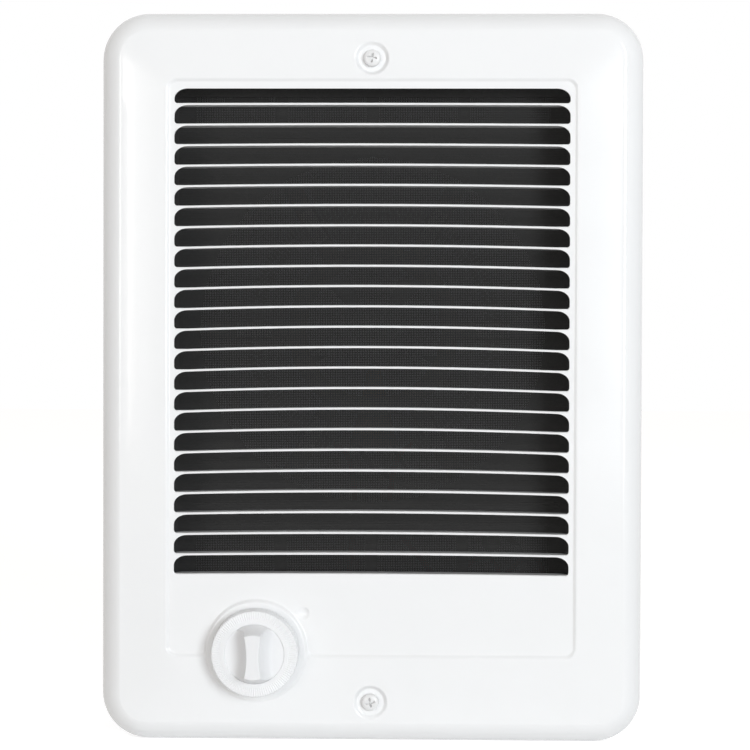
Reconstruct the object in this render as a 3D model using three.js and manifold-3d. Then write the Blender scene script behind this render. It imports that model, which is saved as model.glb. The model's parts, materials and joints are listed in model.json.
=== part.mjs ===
// A recessed bathroom wall fan heater with a louvered enamelled grille and a thermostat knob.
// Millimetres. +Z is up, the room is on the -Y side, and y = 0 is the surface of the wall.
// The origin is the centre of the wall opening, in the plane of the wall.

import * as THREE from 'three';
import { mergeVertices } from 'three/addons/utils/BufferGeometryUtils.js';
import Module from 'manifold-3d';

const wasm = await Module();
wasm.setup();

// ---- shared clearances and facet counts ----
const SEAT_GAP = 0.3; // between pieces that rest on each other
const CUT = 1; // how far a cutting tool runs past the face it opens
const ROUND = 16; // sides of a medium round
const SMALL_ROUND = 10; // sides of a small round

// ---- grille: one pressed steel sheet ----
const GRILLE_WIDTH = 226.4;
const GRILLE_HEIGHT = 304.8;
const GRILLE_CORNER_RADIUS = 17;
const GRILLE_SHEET = 0.9;
const GRILLE_DEPTH = 20.8; // wall to the crown of the front face
const BULLNOSE_WIDTH = 8;
const BULLNOSE_RISE = 8.8;
const FACE_CROWN = 1.5; // how far the face rises from the bullnose to the recess
const FACE_WIDTH = 29; // outer edge to the crest of the face
const INNER_CORNER_RADIUS = 1.5; // of the rings whose inset has used up the outer corner

// ---- grille: stamped recess that holds the louvers ----
const RECESS_SIDE_MARGIN = 29.1; // grille edge to recess
const RECESS_TOP_MARGIN = 29;
const RECESS_BOTTOM_MARGIN = 37.4;
const RECESS_CORNER_RADIUS = 3.8;
const RECESS_DEPTH = 1;
const RECESS_DRAFT = 1; // sideways run of the sloped step

// ---- grille: louvers, each a flap cut on three sides and bent back ----
const SLOT_PITCH = 8.51;
const SLOT_SIDE_MARGIN = 2; // recess edge to slot end
const SLOT_TOP_MARGIN = 3.5; // recess edge to the first slot
const SLOT_BOSS_MARGIN = 8; // least distance from the last slot to the boss of the knob
const FIRST_SLOT_HEIGHT = 6;
const SLOT_TOP_CORNER_WIDTH = 5.5;
const SLOT_TOP_CORNER_HEIGHT = 4.2;
const SLOT_BOTTOM_CORNER = 1.2;
const BLADE_END_GAP = 0.4; // flap end to slot end
const ARCH_RISE = 1.5; // upward bow of the blades at mid width
const ARCH_SKEW = 1.15; // moves the most bowed blades below the middle
const ARCH_TAIL_ROWS = 2; // rows past the last slot where the bow would have died out
const ARCH_SEGMENTS = 4;
const CORNER_SEGMENTS = 2;

// ---- grille screws ----
const TOP_SCREW_MARGIN = 19.9; // grille edge to screw
const BOTTOM_SCREW_MARGIN = 17.3;
const SCREW_SEAT_DEPTH = 2.4; // below the crown of the face
const SCREW_SEAT_RADIUS = 5.3;
const SCREW_SEAT_RIM_RADIUS = 8;
const SCREW_SEAT_SLOPE_RISE = 2;
const SCREW_HEAD_RADIUS = 3.55;
const SCREW_HEAD_HEIGHT = 2.3;
const SCREW_SHANK_RADIUS = 1.9;
const SCREW_REACH = 7; // past the surface of the wall
const CROSS_LENGTH = 4.2;
const CROSS_WIDTH = 0.9;
const CROSS_DEPTH = 1.2;

// ---- control knob, its boss and the index mark ----
const KNOB_SIDE_MARGIN = 65.6; // grille edges to the axis of the knob
const KNOB_BOTTOM_MARGIN = 38.7;
const BOSS_RADIUS = 21.3;
const BOSS_PROUD = 0.4;
const KNOB_RUNNING_GAP = 0.7;
const KNOB_RADIUS = 18;
const KNOB_FRONT_RADIUS = 17.3;
const KNOB_SKIRT_HEIGHT = 8;
const KNOB_WALL = 1.6;
const KNOB_HUB_RADIUS = 12.3;
const KNOB_HUB_GROOVE_WIDTH = 0.8;
const KNOB_HUB_GROOVE_DEPTH = 0.6;
const KNOB_SOCKET_RADIUS = 6;
const KNOB_SOCKET_DEPTH = 9.5;
const GRIP_HEIGHT = 8.7;
const GRIP_LENGTH = 19.6;
const GRIP_END_WIDTH = 6.9;
const GRIP_WAIST_WIDTH = 5.7;
const GRIP_BASE_LENGTH = 23.4;
const GRIP_BASE_WIDTH = 14.6;
const GRIP_MIDDLE_SHARE = 0.28; // how much of the base flare is left at half height
const INDEX_MARK_DISTANCE = 25; // from the axis of the knob
const INDEX_MARK_ANGLE = 38.3; // degrees above the horizontal
const INDEX_MARK_RADIUS = 2.75;
const INDEX_MARK_DEPTH = 0.5;

// ---- thermostat ----
const SHAFT_RADIUS = 3;
const SHAFT_FLAT = 2.2; // axis to the flat of the D section
const SHAFT_REACH = 2; // into the bushing, past the deck
const THERMOSTAT_WIDTH = 44;
const THERMOSTAT_HEIGHT = 20;
const THERMOSTAT_DEPTH = 26;
const THERMOSTAT_BORE_DEPTH = 8;
const BUSHING_RADIUS = 4.75;
const BUSHING_LENGTH = 4.8;
const NUT_ACROSS_CORNERS = 15;
const NUT_HEIGHT = 2.2;
const TERMINAL_LENGTH = 7;
const TERMINAL_WIDTH = 4.8;
const TERMINAL_SHEET = 0.8;
const TERMINAL_SPACING = 12;
const BULB_RADIUS = 2.5;
const BULB_LENGTH = 50;
const BULB_RISE = 16.7; // above the axis of the knob
const BULB_SPACING = 25.6; // knob axis to the left end of the bulb
const CAPILLARY_RADIUS = 0.9;
const CLIP_WIDTH = 6;
const CLIP_WALL = 1.5;

// ---- wall can: a steel box set in the wall ----
const GRILLE_SIDE_COVER = 13.2; // how far the grille reaches past the can
const GRILLE_END_COVER = 24.4;
const CAN_DEPTH = 95;
const CAN_SHEET = 1;
const CAN_CORNER_RADIUS = 3;
const TAB_WIDTH = 40;
const TAB_PAST_SCREW = 9.7;
const LUG_LENGTH = 12;
const LUG_WIDTH = 12;
const LUG_END_MARGIN = 33; // can end to the middle of a lug
const NAIL_HOLE_RADIUS = 2.4;
const NAIL_HOLE_Z = 60;
const NAIL_HOLE_DEPTHS = [22, 72];
const INLET_SIDE_MARGIN = 40; // can side to the axis of the inlet, and to the knockouts
const INLET_Y = 72;
const INLET_RADIUS = 11;
const KNOCKOUT_RADIUS = 11;
const KNOCKOUT_GROOVE = 0.4;
const BUSHING_FLANGE = 2.8;
const BUSHING_FLANGE_HEIGHT = 2;
const BUSHING_SLEEVE_REACH = 2.2;
const BUSHING_WALL = 2.7;
const GROUND_SCREW_X = 55;
const GROUND_SCREW_DROP = 100; // below the axis of the fan
const GROUND_HEAD_RADIUS = 4.5;
const GROUND_HEAD_HEIGHT = 2.6;

// ---- deck: the black plate that closes the can behind the grille ----
const DECK_FRONT = 2;
const DECK_SHEET = 1;
const DECK_SIDE_GAP = 0.6;
const DECK_FLANGE_DEPTH = 9;
const DECK_FLANGE_HALF_WIDTH = 70;
const DECK_SCREW_INSET = 6; // from the inside of the can
const DECK_SCREW_RADIUS = 1.8;
const DECK_SCREW_HEAD_RADIUS = 3.4;
const DECK_SCREW_HEAD_HEIGHT = 2;
const DECK_SCREW_REACH = 3;
const INTAKE_COLUMNS = 4;
const INTAKE_WIDTH = 34;
const INTAKE_PITCH = 39;
const INTAKE_HEIGHT = 20;
const UPPER_INTAKE_HEIGHT = 13;
const INTAKE_SHROUD_GAP = 3; // intake windows to the flange of the shroud

// ---- screen: fine black mesh in front of the deck ----
const SCREEN_SCREW_GAP = 1.6; // screen edge to the heads of the deck screws
const SCREEN_PAST_SLOTS = 4.1; // above the first slot
const SCREEN_BELOW_SLOTS = 9.5;
const SCREEN_SHEET = 0.7;
const SCREEN_BORDER = 5;
const SCREEN_BAR = 3;
const SCREEN_COLUMNS = 5;
const SCREEN_ROWS = 6;

// ---- outlet shroud, heating element and its frame ----
const FAN_Z = 20;
const SHROUD_RADIUS = 74.4;
const SHROUD_SHEET = 0.8;
const SHROUD_FLANGE_RADIUS = 85;
const SHROUD_LIP_RADIUS = 79;
const SHROUD_SIDES = 24;
const OUTLET_RADIUS = 74;
const NOTCH_HALF_WIDTH = 12;
const NOTCH_HALF_DEPTH = 6;
const COIL_RING_RADIUS = 52;
const COIL_RADIUS = 4;
const COIL_START = -70;
const COIL_SWEEP = 320;
const COIL_STEPS = 28;
const ARM_COUNT = 6;
const ARM_WIDTH = 8;
const FRAME_FAN_GAP = 8; // element frame to the hub of the fan
const FRAME_SHEET = 1;
const FRAME_RING_RADIUS = 38;
const FRAME_RING_WIDTH = 8;
const INSULATOR_RADIAL = 14;
const INSULATOR_TANGENTIAL = 6;
const INSULATOR_LIP = 2; // in front of the coil
const INSULATOR_CLEARANCE = 0.7;

// ---- fan ----
const FAN_STRAP_GAP = 3.3; // hub to the motor strap
const FAN_RADIUS = 71;
const FAN_BLADES = 5;
const FAN_HUB_RADIUS = 14;
const FAN_HUB_HALF = 7;
const FAN_AXIAL = 12;
const FAN_BLADE_SHEET = 1;
const FAN_ROOT_SPAN = 52;
const FAN_TIP_SPAN = 46;
const FAN_CLIP_RADIUS = 6;
const FAN_CLIP_HEIGHT = 1.7;

// ---- motor ----
const MOTOR_SHAFT_RADIUS = 3;
const MOTOR_SHAFT_TAIL = 4; // past the rear bracket
const MOTOR_CAN_GAP = 4; // shaft end to the back of the can
const SHAFT_PAST_CLIP = 2;
const BEARING_RUNNING_GAP = 0.1;
const STRAP_HEIGHT = 22;
const STRAP_SHEET = 1.2;
const STRAP_HALF_LENGTH = 78;
const STRAP_HOLE_RADIUS = 8;
const STACK_LENGTH = 16;
const STACK_HALF_WIDTH = 31;
const STACK_TOP = 24;
const STACK_BOTTOM = -44;
const STACK_LEG = 12;
const WINDOW_TOP = -17.5;
const ROTOR_RADIUS = 15;
const AIR_GAP = 0.6;
const ROTOR_RING = 2;
const WINDING_HALF_WIDTH = 17;
const WINDING_BUILD = 8;
const BRACKET_SHEET = 1.5;
const BRACKET_HALF_HEIGHT = 9;
const BRACKET_REACH = 9; // laminations to the outer face of a bracket
const BEARING_RADIUS = 6;
const BEARING_LENGTH = 6;
const MOTOR_SCREW_X = 25;
const MOTOR_SCREW_RADIUS = 1.9;
const MOTOR_SCREW_HEAD_RADIUS = 3.6;
const MOTOR_SCREW_HEAD_HEIGHT = 2;

// ---- high limit switch with its reset button ----
const LIMIT_SPACING = 92.6; // from the axis of the knob
const LIMIT_RISE = 5.7;
const LIMIT_BODY_RADIUS = 9;
const LIMIT_FLANGE_RADIUS = 11;
const LIMIT_FLANGE_SHEET = 1.7;
const LIMIT_DEPTH = 14;
const LIMIT_WALL = 2; // behind the chamber of the spring
const BUTTON_RADIUS = 3;
const BUTTON_COLLAR_RADIUS = 4.5;
const BUTTON_COLLAR_HEIGHT = 1.5;
const BUTTON_FRONT = -4.5;
const BUTTON_EDGE = 0.5; // bevel round the cap
const BUTTON_TRAVEL = 1.5;
const BUTTON_RUNNING_GAP = 0.25;
const SPRING_WALL = 0.8;

// ---- wiring ----
const LEAD_RADIUS = 1.5;
const LEAD_SIDES = 6;
const LEAD_STRAIGHT = 6; // before a lead bends away from what it joins
const LEAD_SPREAD = 8; // how far leads that go together keep apart
const LEAD_DROP = 28; // height above the wire nuts where the leads gather
const NOTCH_MARGIN = 7;
const WIRE_NUT_RADIUS = 7;
const WIRE_NUT_TIP_RADIUS = 4.5;
const WIRE_NUT_HEIGHT = 22;
const WIRE_NUT_SIDE_GAP = 10; // outer wire nut to the side of the can
const WIRE_NUT_PITCH = 20;
const WIRE_NUT_BACK_GAP = 32; // wire nuts to the back of the can
const WIRE_NUT_SOCKET = 6;

// ---- materials ----
const paint = (color, roughness, metalness = 0) =>
  new THREE.MeshStandardMaterial({ color, roughness, metalness });
const enamel = paint(0xf6f7f8, 0.25);
const knobPlastic = paint(0xeeeff2, 0.4);
const matteBlack = paint(0x383735, 0.85);
const galvanised = paint(0xb4b8ba, 0.45, 0.9);
const zinc = paint(0xc8c8c4, 0.35, 0.9);
const whiteScrew = paint(0xe9eaec, 0.35);
const nichrome = paint(0x6f6a66, 0.45, 0.8);
const ceramic = paint(0xe6e0d2, 0.6);
const mica = paint(0xa99c80, 0.7);
const aluminium = paint(0xaeb2b6, 0.4, 0.9);
const lamination = paint(0x55585c, 0.5, 0.8);
const copper = paint(0x9a5a32, 0.5, 0.5);
const sintered = paint(0x9a7a4a, 0.5, 0.8);
const blackPlastic = paint(0x222222, 0.5);
const redPlastic = paint(0xb3211c, 0.4);
const greenScrew = paint(0x2f7d3c, 0.4, 0.3);
const blackWire = paint(0x1c1c1e, 0.5);
const redWire = paint(0xa8231f, 0.5);
const orangeNut = paint(0xc96a1c, 0.5);
const copperTube = paint(0xb87345, 0.35, 0.9);

// ---- solids ----

function signedVolume(position, corners) {
  const [a, b, c] = [new THREE.Vector3(), new THREE.Vector3(), new THREE.Vector3()];
  let sum = 0;
  for (let i = 0; i < corners.length; i += 3) {
    a.fromBufferAttribute(position, corners[i]);
    b.fromBufferAttribute(position, corners[i + 1]);
    c.fromBufferAttribute(position, corners[i + 2]);
    sum += a.dot(b.cross(c)) / 6;
  }
  return sum;
}

// a closed three.js geometry as a solid whose faces point out
function solid(geometry) {
  geometry.deleteAttribute('normal');
  geometry.deleteAttribute('uv');
  const merged = mergeVertices(geometry, 1e-4);
  const corners = [];
  for (let i = 0; i < merged.index.count; i += 3) {
    const [a, b, c] = [0, 1, 2].map((k) => merged.index.getX(i + k));
    if (a !== b && b !== c && c !== a) corners.push(a, b, c);
  }
  if (signedVolume(merged.attributes.position, corners) < 0) corners.reverse();
  const mesh = new wasm.Mesh({
    numProp: 3,
    vertProperties: Float32Array.from(merged.attributes.position.array),
    triVerts: Uint32Array.from(corners),
  });
  return new wasm.Manifold(mesh);
}

function geometryOf(body) {
  const mesh = body.getMesh();
  const geometry = new THREE.BufferGeometry();
  geometry.setAttribute('position', new THREE.BufferAttribute(mesh.vertProperties, 3));
  geometry.setIndex(new THREE.BufferAttribute(mesh.triVerts, 1));
  geometry.computeVertexNormals();
  return geometry;
}

function piece(name, body, material, position = [0, 0, 0]) {
  const mesh = new THREE.Mesh(geometryOf(body), material);
  mesh.name = name;
  mesh.position.set(...position);
  return mesh;
}

const join = (bodies) => bodies.reduce((whole, body) => whole.add(body));
const cut = (body, tools) => tools.reduce((rest, tool) => rest.subtract(tool), body);

// an outline of [x, z] points, pressed between two depths
function slab(outline, front, back) {
  const shape = new THREE.Shape(outline.map(([x, z]) => new THREE.Vector2(x, z)));
  const geometry = new THREE.ExtrudeGeometry(shape, { depth: back - front, bevelEnabled: false });
  geometry.rotateX(Math.PI / 2);
  geometry.translate(0, back, 0);
  return solid(geometry);
}

function box(x0, x1, y0, y1, z0, z1) {
  const geometry = new THREE.BoxGeometry(x1 - x0, y1 - y0, z1 - z0);
  geometry.translate((x0 + x1) / 2, (y0 + y1) / 2, (z0 + z1) / 2);
  return solid(geometry);
}

// a profile of [radius, depth] points turned about the Y axis
function turned(profile, sides = ROUND) {
  return solid(new THREE.LatheGeometry(profile.map(([r, y]) => new THREE.Vector2(r, y)), sides));
}

const rod = (radius, front, back, sides = ROUND) =>
  turned([[0, front], [radius, front], [radius, back], [0, back]], sides);

const ringOf = (inner, outer, front, back, sides = ROUND) =>
  turned([[inner, front], [outer, front], [outer, back], [inner, back], [inner, front]], sides);

// a round tool whose axis lies along X or Z
function crossRod(axis, radius, from, to, sides = ROUND) {
  const geometry = new THREE.CylinderGeometry(radius, radius, to - from, sides);
  geometry.translate(0, (from + to) / 2, 0);
  if (axis === 'x') geometry.rotateZ(-Math.PI / 2);
  if (axis === 'z') geometry.rotateX(Math.PI / 2);
  return solid(geometry);
}

function rectangle(x0, x1, z0, z1) {
  return [[x0, z0], [x1, z0], [x1, z1], [x0, z1]];
}

function roundedRectangle(x0, x1, z0, z1, radius, segments = 4) {
  const centres = [[x1 - radius, z0 + radius, -90], [x1 - radius, z1 - radius, 0],
    [x0 + radius, z1 - radius, 90], [x0 + radius, z0 + radius, 180]];
  return centres.flatMap(([x, z, start]) =>
    Array.from({ length: segments + 1 }, (_, i) => {
      const angle = THREE.MathUtils.degToRad(start + (90 * i) / segments);
      return [x + radius * Math.cos(angle), z + radius * Math.sin(angle)];
    }));
}

// rings of equal point counts skinned in order, with flat ends
function loft(rings) {
  const count = rings[0].length;
  const points = rings.flat();
  const index = [];
  for (let ring = 0; ring + 1 < rings.length; ring += 1) {
    for (let i = 0; i < count; i += 1) {
      const [a, b] = [ring * count + i, ring * count + ((i + 1) % count)];
      index.push(a, b, b + count, a, b + count, a + count);
    }
  }
  const flat = rings[0].every((p) => p.x === rings[0][0].x);
  const outline = rings[0].map((p) => new THREE.Vector2(flat ? p.y : p.x, p.z));
  const last = (rings.length - 1) * count;
  for (const [a, b, c] of THREE.ShapeUtils.triangulateShape(outline, [])) {
    index.push(c, b, a, last + a, last + b, last + c);
  }
  const geometry = new THREE.BufferGeometry().setFromPoints(points);
  geometry.setIndex(index);
  return solid(geometry);
}

const ringAt = (outline, y) => outline.map(([x, z]) => new THREE.Vector3(x, y, z));

function tube(route, radius = LEAD_RADIUS, sides = LEAD_SIDES, steps = 12) {
  const section = new THREE.Shape(Array.from({ length: sides }, (_, i) => {
    const angle = (2 * Math.PI * i) / sides;
    return new THREE.Vector2(radius * Math.cos(angle), radius * Math.sin(angle));
  }));
  const points = route.map((point) => new THREE.Vector3(...point));
  const path = new THREE.CatmullRomCurve3(points, false, 'centripetal');
  return solid(new THREE.ExtrudeGeometry(section, { steps, extrudePath: path, bevelEnabled: false }));
}

const polar = (radius, degrees) => {
  const angle = THREE.MathUtils.degToRad(degrees);
  return [radius * Math.cos(angle), radius * Math.sin(angle)];
};

// ---- places worked out from the sizes ----
const [GRILLE_SIDE, GRILLE_END] = [GRILLE_WIDTH / 2, GRILLE_HEIGHT / 2];
const BULLNOSE_FRONT = -(GRILLE_DEPTH - FACE_CROWN);
const CROWN = -GRILLE_DEPTH;
const RECESS_FLOOR = CROWN + RECESS_DEPTH;
const RECESS_HALF_WIDTH = GRILLE_SIDE - RECESS_SIDE_MARGIN;
const RECESS_TOP = GRILLE_END - RECESS_TOP_MARGIN;
const RECESS_BOTTOM = RECESS_BOTTOM_MARGIN - GRILLE_END;
const TOP_SCREW_Z = GRILLE_END - TOP_SCREW_MARGIN;
const BOTTOM_SCREW_Z = BOTTOM_SCREW_MARGIN - GRILLE_END;
const SCREW_SEAT = CROWN + SCREW_SEAT_DEPTH;
const KNOB_X = KNOB_SIDE_MARGIN - GRILLE_SIDE;
const KNOB_Z = KNOB_BOTTOM_MARGIN - GRILLE_END;
const BOSS_FRONT = CROWN - BOSS_PROUD;
const KNOB_REAR = BOSS_FRONT - KNOB_RUNNING_GAP;
const KNOB_FACE = KNOB_REAR - KNOB_SKIRT_HEIGHT;

const SLOT_WIDTH = 2 * (RECESS_HALF_WIDTH - SLOT_SIDE_MARGIN);
const SLOT_HEIGHT = SLOT_PITCH - GRILLE_SHEET;
const FIRST_SLOT_TOP = RECESS_TOP - SLOT_TOP_MARGIN;
const SLOT_LIMIT = KNOB_Z + BOSS_RADIUS + SLOT_BOSS_MARGIN;
const SLOT_COUNT = 1 + Math.floor((FIRST_SLOT_TOP - FIRST_SLOT_HEIGHT - SLOT_LIMIT) / SLOT_PITCH);
const LAST_SLOT_BOTTOM = FIRST_SLOT_TOP - FIRST_SLOT_HEIGHT - (SLOT_COUNT - 1) * SLOT_PITCH;
const ARCH_HALF_SPAN = SLOT_WIDTH / 2 - SLOT_TOP_CORNER_WIDTH;

const CAN_WIDTH = GRILLE_WIDTH - 2 * GRILLE_SIDE_COVER;
const CAN_HEIGHT = GRILLE_HEIGHT - 2 * GRILLE_END_COVER;
const CAN_FRONT = -CAN_SHEET;
const CAN_INSIDE_X = CAN_WIDTH / 2 - CAN_SHEET;
const CAN_INSIDE_Z = CAN_HEIGHT / 2 - CAN_SHEET;
const CAN_FLOOR = CAN_DEPTH - CAN_SHEET;
const LUG_Z = CAN_HEIGHT / 2 - LUG_END_MARGIN;
const KNOCKOUT_X = CAN_WIDTH / 2 - INLET_SIDE_MARGIN;
const INLET_X = -KNOCKOUT_X;

const DECK_REAR = DECK_FRONT + DECK_SHEET;
const BEHIND_DECK = DECK_REAR + SEAT_GAP;
const DECK_SCREW_X = CAN_INSIDE_X - DECK_SCREW_INSET;
const SCREEN_REAR = DECK_FRONT - SEAT_GAP;
const SCREEN_HALF_WIDTH = DECK_SCREW_X - DECK_SCREW_HEAD_RADIUS - SCREEN_SCREW_GAP;
const SCREEN_TOP = FIRST_SLOT_TOP + SCREEN_PAST_SLOTS;
const SCREEN_BOTTOM = LAST_SLOT_BOTTOM - SCREEN_BELOW_SLOTS;
const INTAKE_TOP = FAN_Z - SHROUD_FLANGE_RADIUS - INTAKE_SHROUD_GAP;
const UPPER_INTAKE_BOTTOM = FAN_Z + SHROUD_FLANGE_RADIUS + INTAKE_SHROUD_GAP;

// the motor hangs from the back of the can's depth, and the rest follows towards the room
const MOTOR_SHAFT_REAR = CAN_FLOOR - MOTOR_CAN_GAP;
const BRACKET_REAR_FACE = MOTOR_SHAFT_REAR - MOTOR_SHAFT_TAIL;
const STACK_REAR = BRACKET_REAR_FACE - BRACKET_REACH;
const STACK_FRONT = STACK_REAR - STACK_LENGTH;
const BRACKET_FRONT_FACE = STACK_FRONT - BRACKET_REACH;
const STRAP_FRONT = BRACKET_FRONT_FACE - SEAT_GAP - STRAP_SHEET;
const SHROUD_REAR = STRAP_FRONT - SEAT_GAP;
const FAN_MIDDLE = STRAP_FRONT - FAN_STRAP_GAP - FAN_HUB_HALF;
const CLIP_FRONT = FAN_MIDDLE - FAN_HUB_HALF - SEAT_GAP - FAN_CLIP_HEIGHT;
const MOTOR_SHAFT_FRONT = CLIP_FRONT - SHAFT_PAST_CLIP;
const FRAME_FRONT = FAN_MIDDLE - FAN_HUB_HALF - FRAME_FAN_GAP;
const COIL_Y = (BEHIND_DECK + FRAME_FRONT) / 2;

const THERMOSTAT_RIGHT = KNOB_X + THERMOSTAT_WIDTH / 2;
const BULB_LEFT = KNOB_X + BULB_SPACING;
const BULB_Z = KNOB_Z + BULB_RISE;
const LIMIT_X = KNOB_X + LIMIT_SPACING;
const LIMIT_Z = KNOB_Z + LIMIT_RISE;
const LIMIT_REAR = BEHIND_DECK + LIMIT_DEPTH;
const GROUND_SCREW_Z = FAN_Z - GROUND_SCREW_DROP;
const WIRE_NUT_Y = CAN_FLOOR - WIRE_NUT_BACK_GAP;
const OUTER_NUT_X = CAN_INSIDE_X - WIRE_NUT_SIDE_GAP - WIRE_NUT_RADIUS;
const WIRE_NUT_XS = [OUTER_NUT_X - WIRE_NUT_PITCH, OUTER_NUT_X];

// ---- grille ----

// outline of the grille drawn in from its outer edge
function grilleRing(inset, y) {
  const [x, z] = [GRILLE_WIDTH / 2 - inset, GRILLE_HEIGHT / 2 - inset];
  const radius = Math.max(GRILLE_CORNER_RADIUS - inset, INNER_CORNER_RADIUS);
  return ringAt(roundedRectangle(-x, x, -z, z, radius), y);
}

// the pressed dish: side wall, bullnose and crowned face, drawn in by the sheet on the inside
function grilleDish(sheet, rim) {
  const rings = [grilleRing(sheet, rim)];
  const bullnoseSteps = 4;
  for (let i = 0; i <= bullnoseSteps; i += 1) {
    const angle = (Math.PI / 2) * (i / bullnoseSteps);
    const inset = BULLNOSE_WIDTH - (BULLNOSE_WIDTH - sheet) * Math.cos(angle);
    const y = BULLNOSE_FRONT + BULLNOSE_RISE - (BULLNOSE_RISE - sheet) * Math.sin(angle);
    rings.push(grilleRing(inset, y));
  }
  rings.push(grilleRing(FACE_WIDTH, CROWN + sheet));
  return loft(rings);
}

function recessTool(sheet) {
  const ring = (grow, y) => ringAt(roundedRectangle(-RECESS_HALF_WIDTH - grow, RECESS_HALF_WIDTH + grow,
    RECESS_BOTTOM - grow, RECESS_TOP + grow, RECESS_CORNER_RADIUS + grow), y);
  const floor = RECESS_FLOOR + sheet;
  const slope = RECESS_DRAFT / RECESS_DEPTH;
  const mouth = CROWN - CUT;
  return loft([ring(sheet, floor), ring(sheet + slope * (floor - mouth), mouth)]);
}

function screwSeatTool(sheet, z) {
  const floor = SCREW_SEAT + sheet;
  const slope = (SCREW_SEAT_RIM_RADIUS - SCREW_SEAT_RADIUS) / SCREW_SEAT_SLOPE_RISE;
  const mouth = CROWN - CUT;
  const floorRadius = SCREW_SEAT_RADIUS + sheet;
  const mouthRadius = floorRadius + slope * (floor - mouth);
  return turned([[0, floor], [floorRadius, floor], [mouthRadius, mouth], [0, mouth]]).translate(0, 0, z);
}

// height of the blade's bow above its ends; slot 0 is the top one
function bow(slot, x) {
  const share = ((slot + 1) / (SLOT_COUNT + ARCH_TAIL_ROWS)) ** ARCH_SKEW;
  const rise = slot < 0 ? 0 : ARCH_RISE * Math.sin(Math.PI * share);
  return rise * (1 - (x / ARCH_HALF_SPAN) ** 2);
}

const slotBottom = (slot) => FIRST_SLOT_TOP - FIRST_SLOT_HEIGHT - slot * SLOT_PITCH;
const slotHeight = (slot) => (slot === 0 ? FIRST_SLOT_HEIGHT : SLOT_HEIGHT);

// points of a bowed edge from left to right
function bowedEdge(slot, z) {
  return Array.from({ length: ARCH_SEGMENTS + 1 }, (_, i) => {
    const x = ARCH_HALF_SPAN * ((2 * i) / ARCH_SEGMENTS - 1);
    return [x, z + bow(slot, x)];
  });
}

function slotTool(slot) {
  const bottom = slotBottom(slot);
  const top = bottom + slotHeight(slot);
  const half = SLOT_WIDTH / 2;
  const corner = Array.from({ length: CORNER_SEGMENTS }, (_, i) => {
    const angle = (Math.PI / 2) * (i / CORNER_SEGMENTS);
    return [half - SLOT_TOP_CORNER_WIDTH * (1 - Math.cos(angle)),
      top - SLOT_TOP_CORNER_HEIGHT * (1 - Math.sin(angle))];
  });
  const right = [[half - SLOT_BOTTOM_CORNER, bottom], [half, bottom + SLOT_BOTTOM_CORNER], ...corner];
  const left = right.map(([x, z]) => [-x, z]).reverse();
  const outline = [...bowedEdge(slot, bottom), ...right, ...bowedEdge(slot - 1, top).reverse(), ...left];
  return slab(outline, CROWN - CUT, RECESS_FLOOR + GRILLE_SHEET + CUT);
}

// depth of the flap at x: the slot's rounded top corners have become the flap's rear corners
function bladeDepth(slot, x) {
  const run = Math.max(Math.abs(x) - ARCH_HALF_SPAN, 0) / SLOT_TOP_CORNER_WIDTH;
  return slotHeight(slot) - SLOT_TOP_CORNER_HEIGHT * (1 - Math.sqrt(1 - Math.min(run, 1) ** 2));
}

function blade(slot) {
  const half = SLOT_WIDTH / 2 - BLADE_END_GAP;
  const bend = (ARCH_HALF_SPAN + half) / 2;
  const bottom = slotBottom(slot);
  const edge = [[-half, bottom], [-bend, bottom], ...bowedEdge(slot, bottom), [bend, bottom], [half, bottom]];
  return loft(edge.map(([x, z]) => {
    const [front, back] = [RECESS_FLOOR + GRILLE_SHEET / 2, RECESS_FLOOR + bladeDepth(slot, x)];
    return [[front, z - GRILLE_SHEET], [back, z - GRILLE_SHEET], [back, z], [front, z]]
      .map(([y, height]) => new THREE.Vector3(x, y, height));
  }));
}

function grille() {
  const screwRows = [TOP_SCREW_Z, BOTTOM_SCREW_Z];
  const bossAt = (body) => body.translate(KNOB_X, 0, KNOB_Z);
  const boss = bossAt(rod(BOSS_RADIUS, BOSS_FRONT, RECESS_FLOOR + GRILLE_SHEET / 2, 2 * ROUND));
  const bossHollow = bossAt(rod(BOSS_RADIUS - GRILLE_SHEET, BOSS_FRONT + GRILLE_SHEET,
    RECESS_FLOOR + GRILLE_SHEET + CUT, 2 * ROUND));
  const outside = cut(cut(grilleDish(0, 0), [recessTool(0)]).add(boss),
    screwRows.map((z) => screwSeatTool(0, z)));
  const inside = cut(cut(grilleDish(GRILLE_SHEET, CUT), [recessTool(GRILLE_SHEET)]).add(bossHollow),
    screwRows.map((z) => screwSeatTool(GRILLE_SHEET, z)));
  const holes = screwRows.map((z) =>
    rod(SCREW_SHANK_RADIUS + SEAT_GAP, CROWN, 0, SMALL_ROUND).translate(0, 0, z));
  const shaftHole = bossAt(rod(BUSHING_RADIUS + SEAT_GAP, BOSS_FRONT - CUT, 0));
  const [markX, markZ] = polar(INDEX_MARK_DISTANCE, INDEX_MARK_ANGLE);
  const indexMark = turned([[0, RECESS_FLOOR + INDEX_MARK_DEPTH],
    [INDEX_MARK_RADIUS, RECESS_FLOOR - SEAT_GAP], [0, RECESS_FLOOR - SEAT_GAP]], SMALL_ROUND)
    .translate(KNOB_X + markX, 0, KNOB_Z + markZ);
  const slots = Array.from({ length: SLOT_COUNT }, (_, slot) => slot);
  const sheet = cut(outside, [inside, ...holes, shaftHole, indexMark, ...slots.map(slotTool)]);
  return piece('grille', join([sheet, ...slots.map(blade)]), enamel);
}

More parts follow.
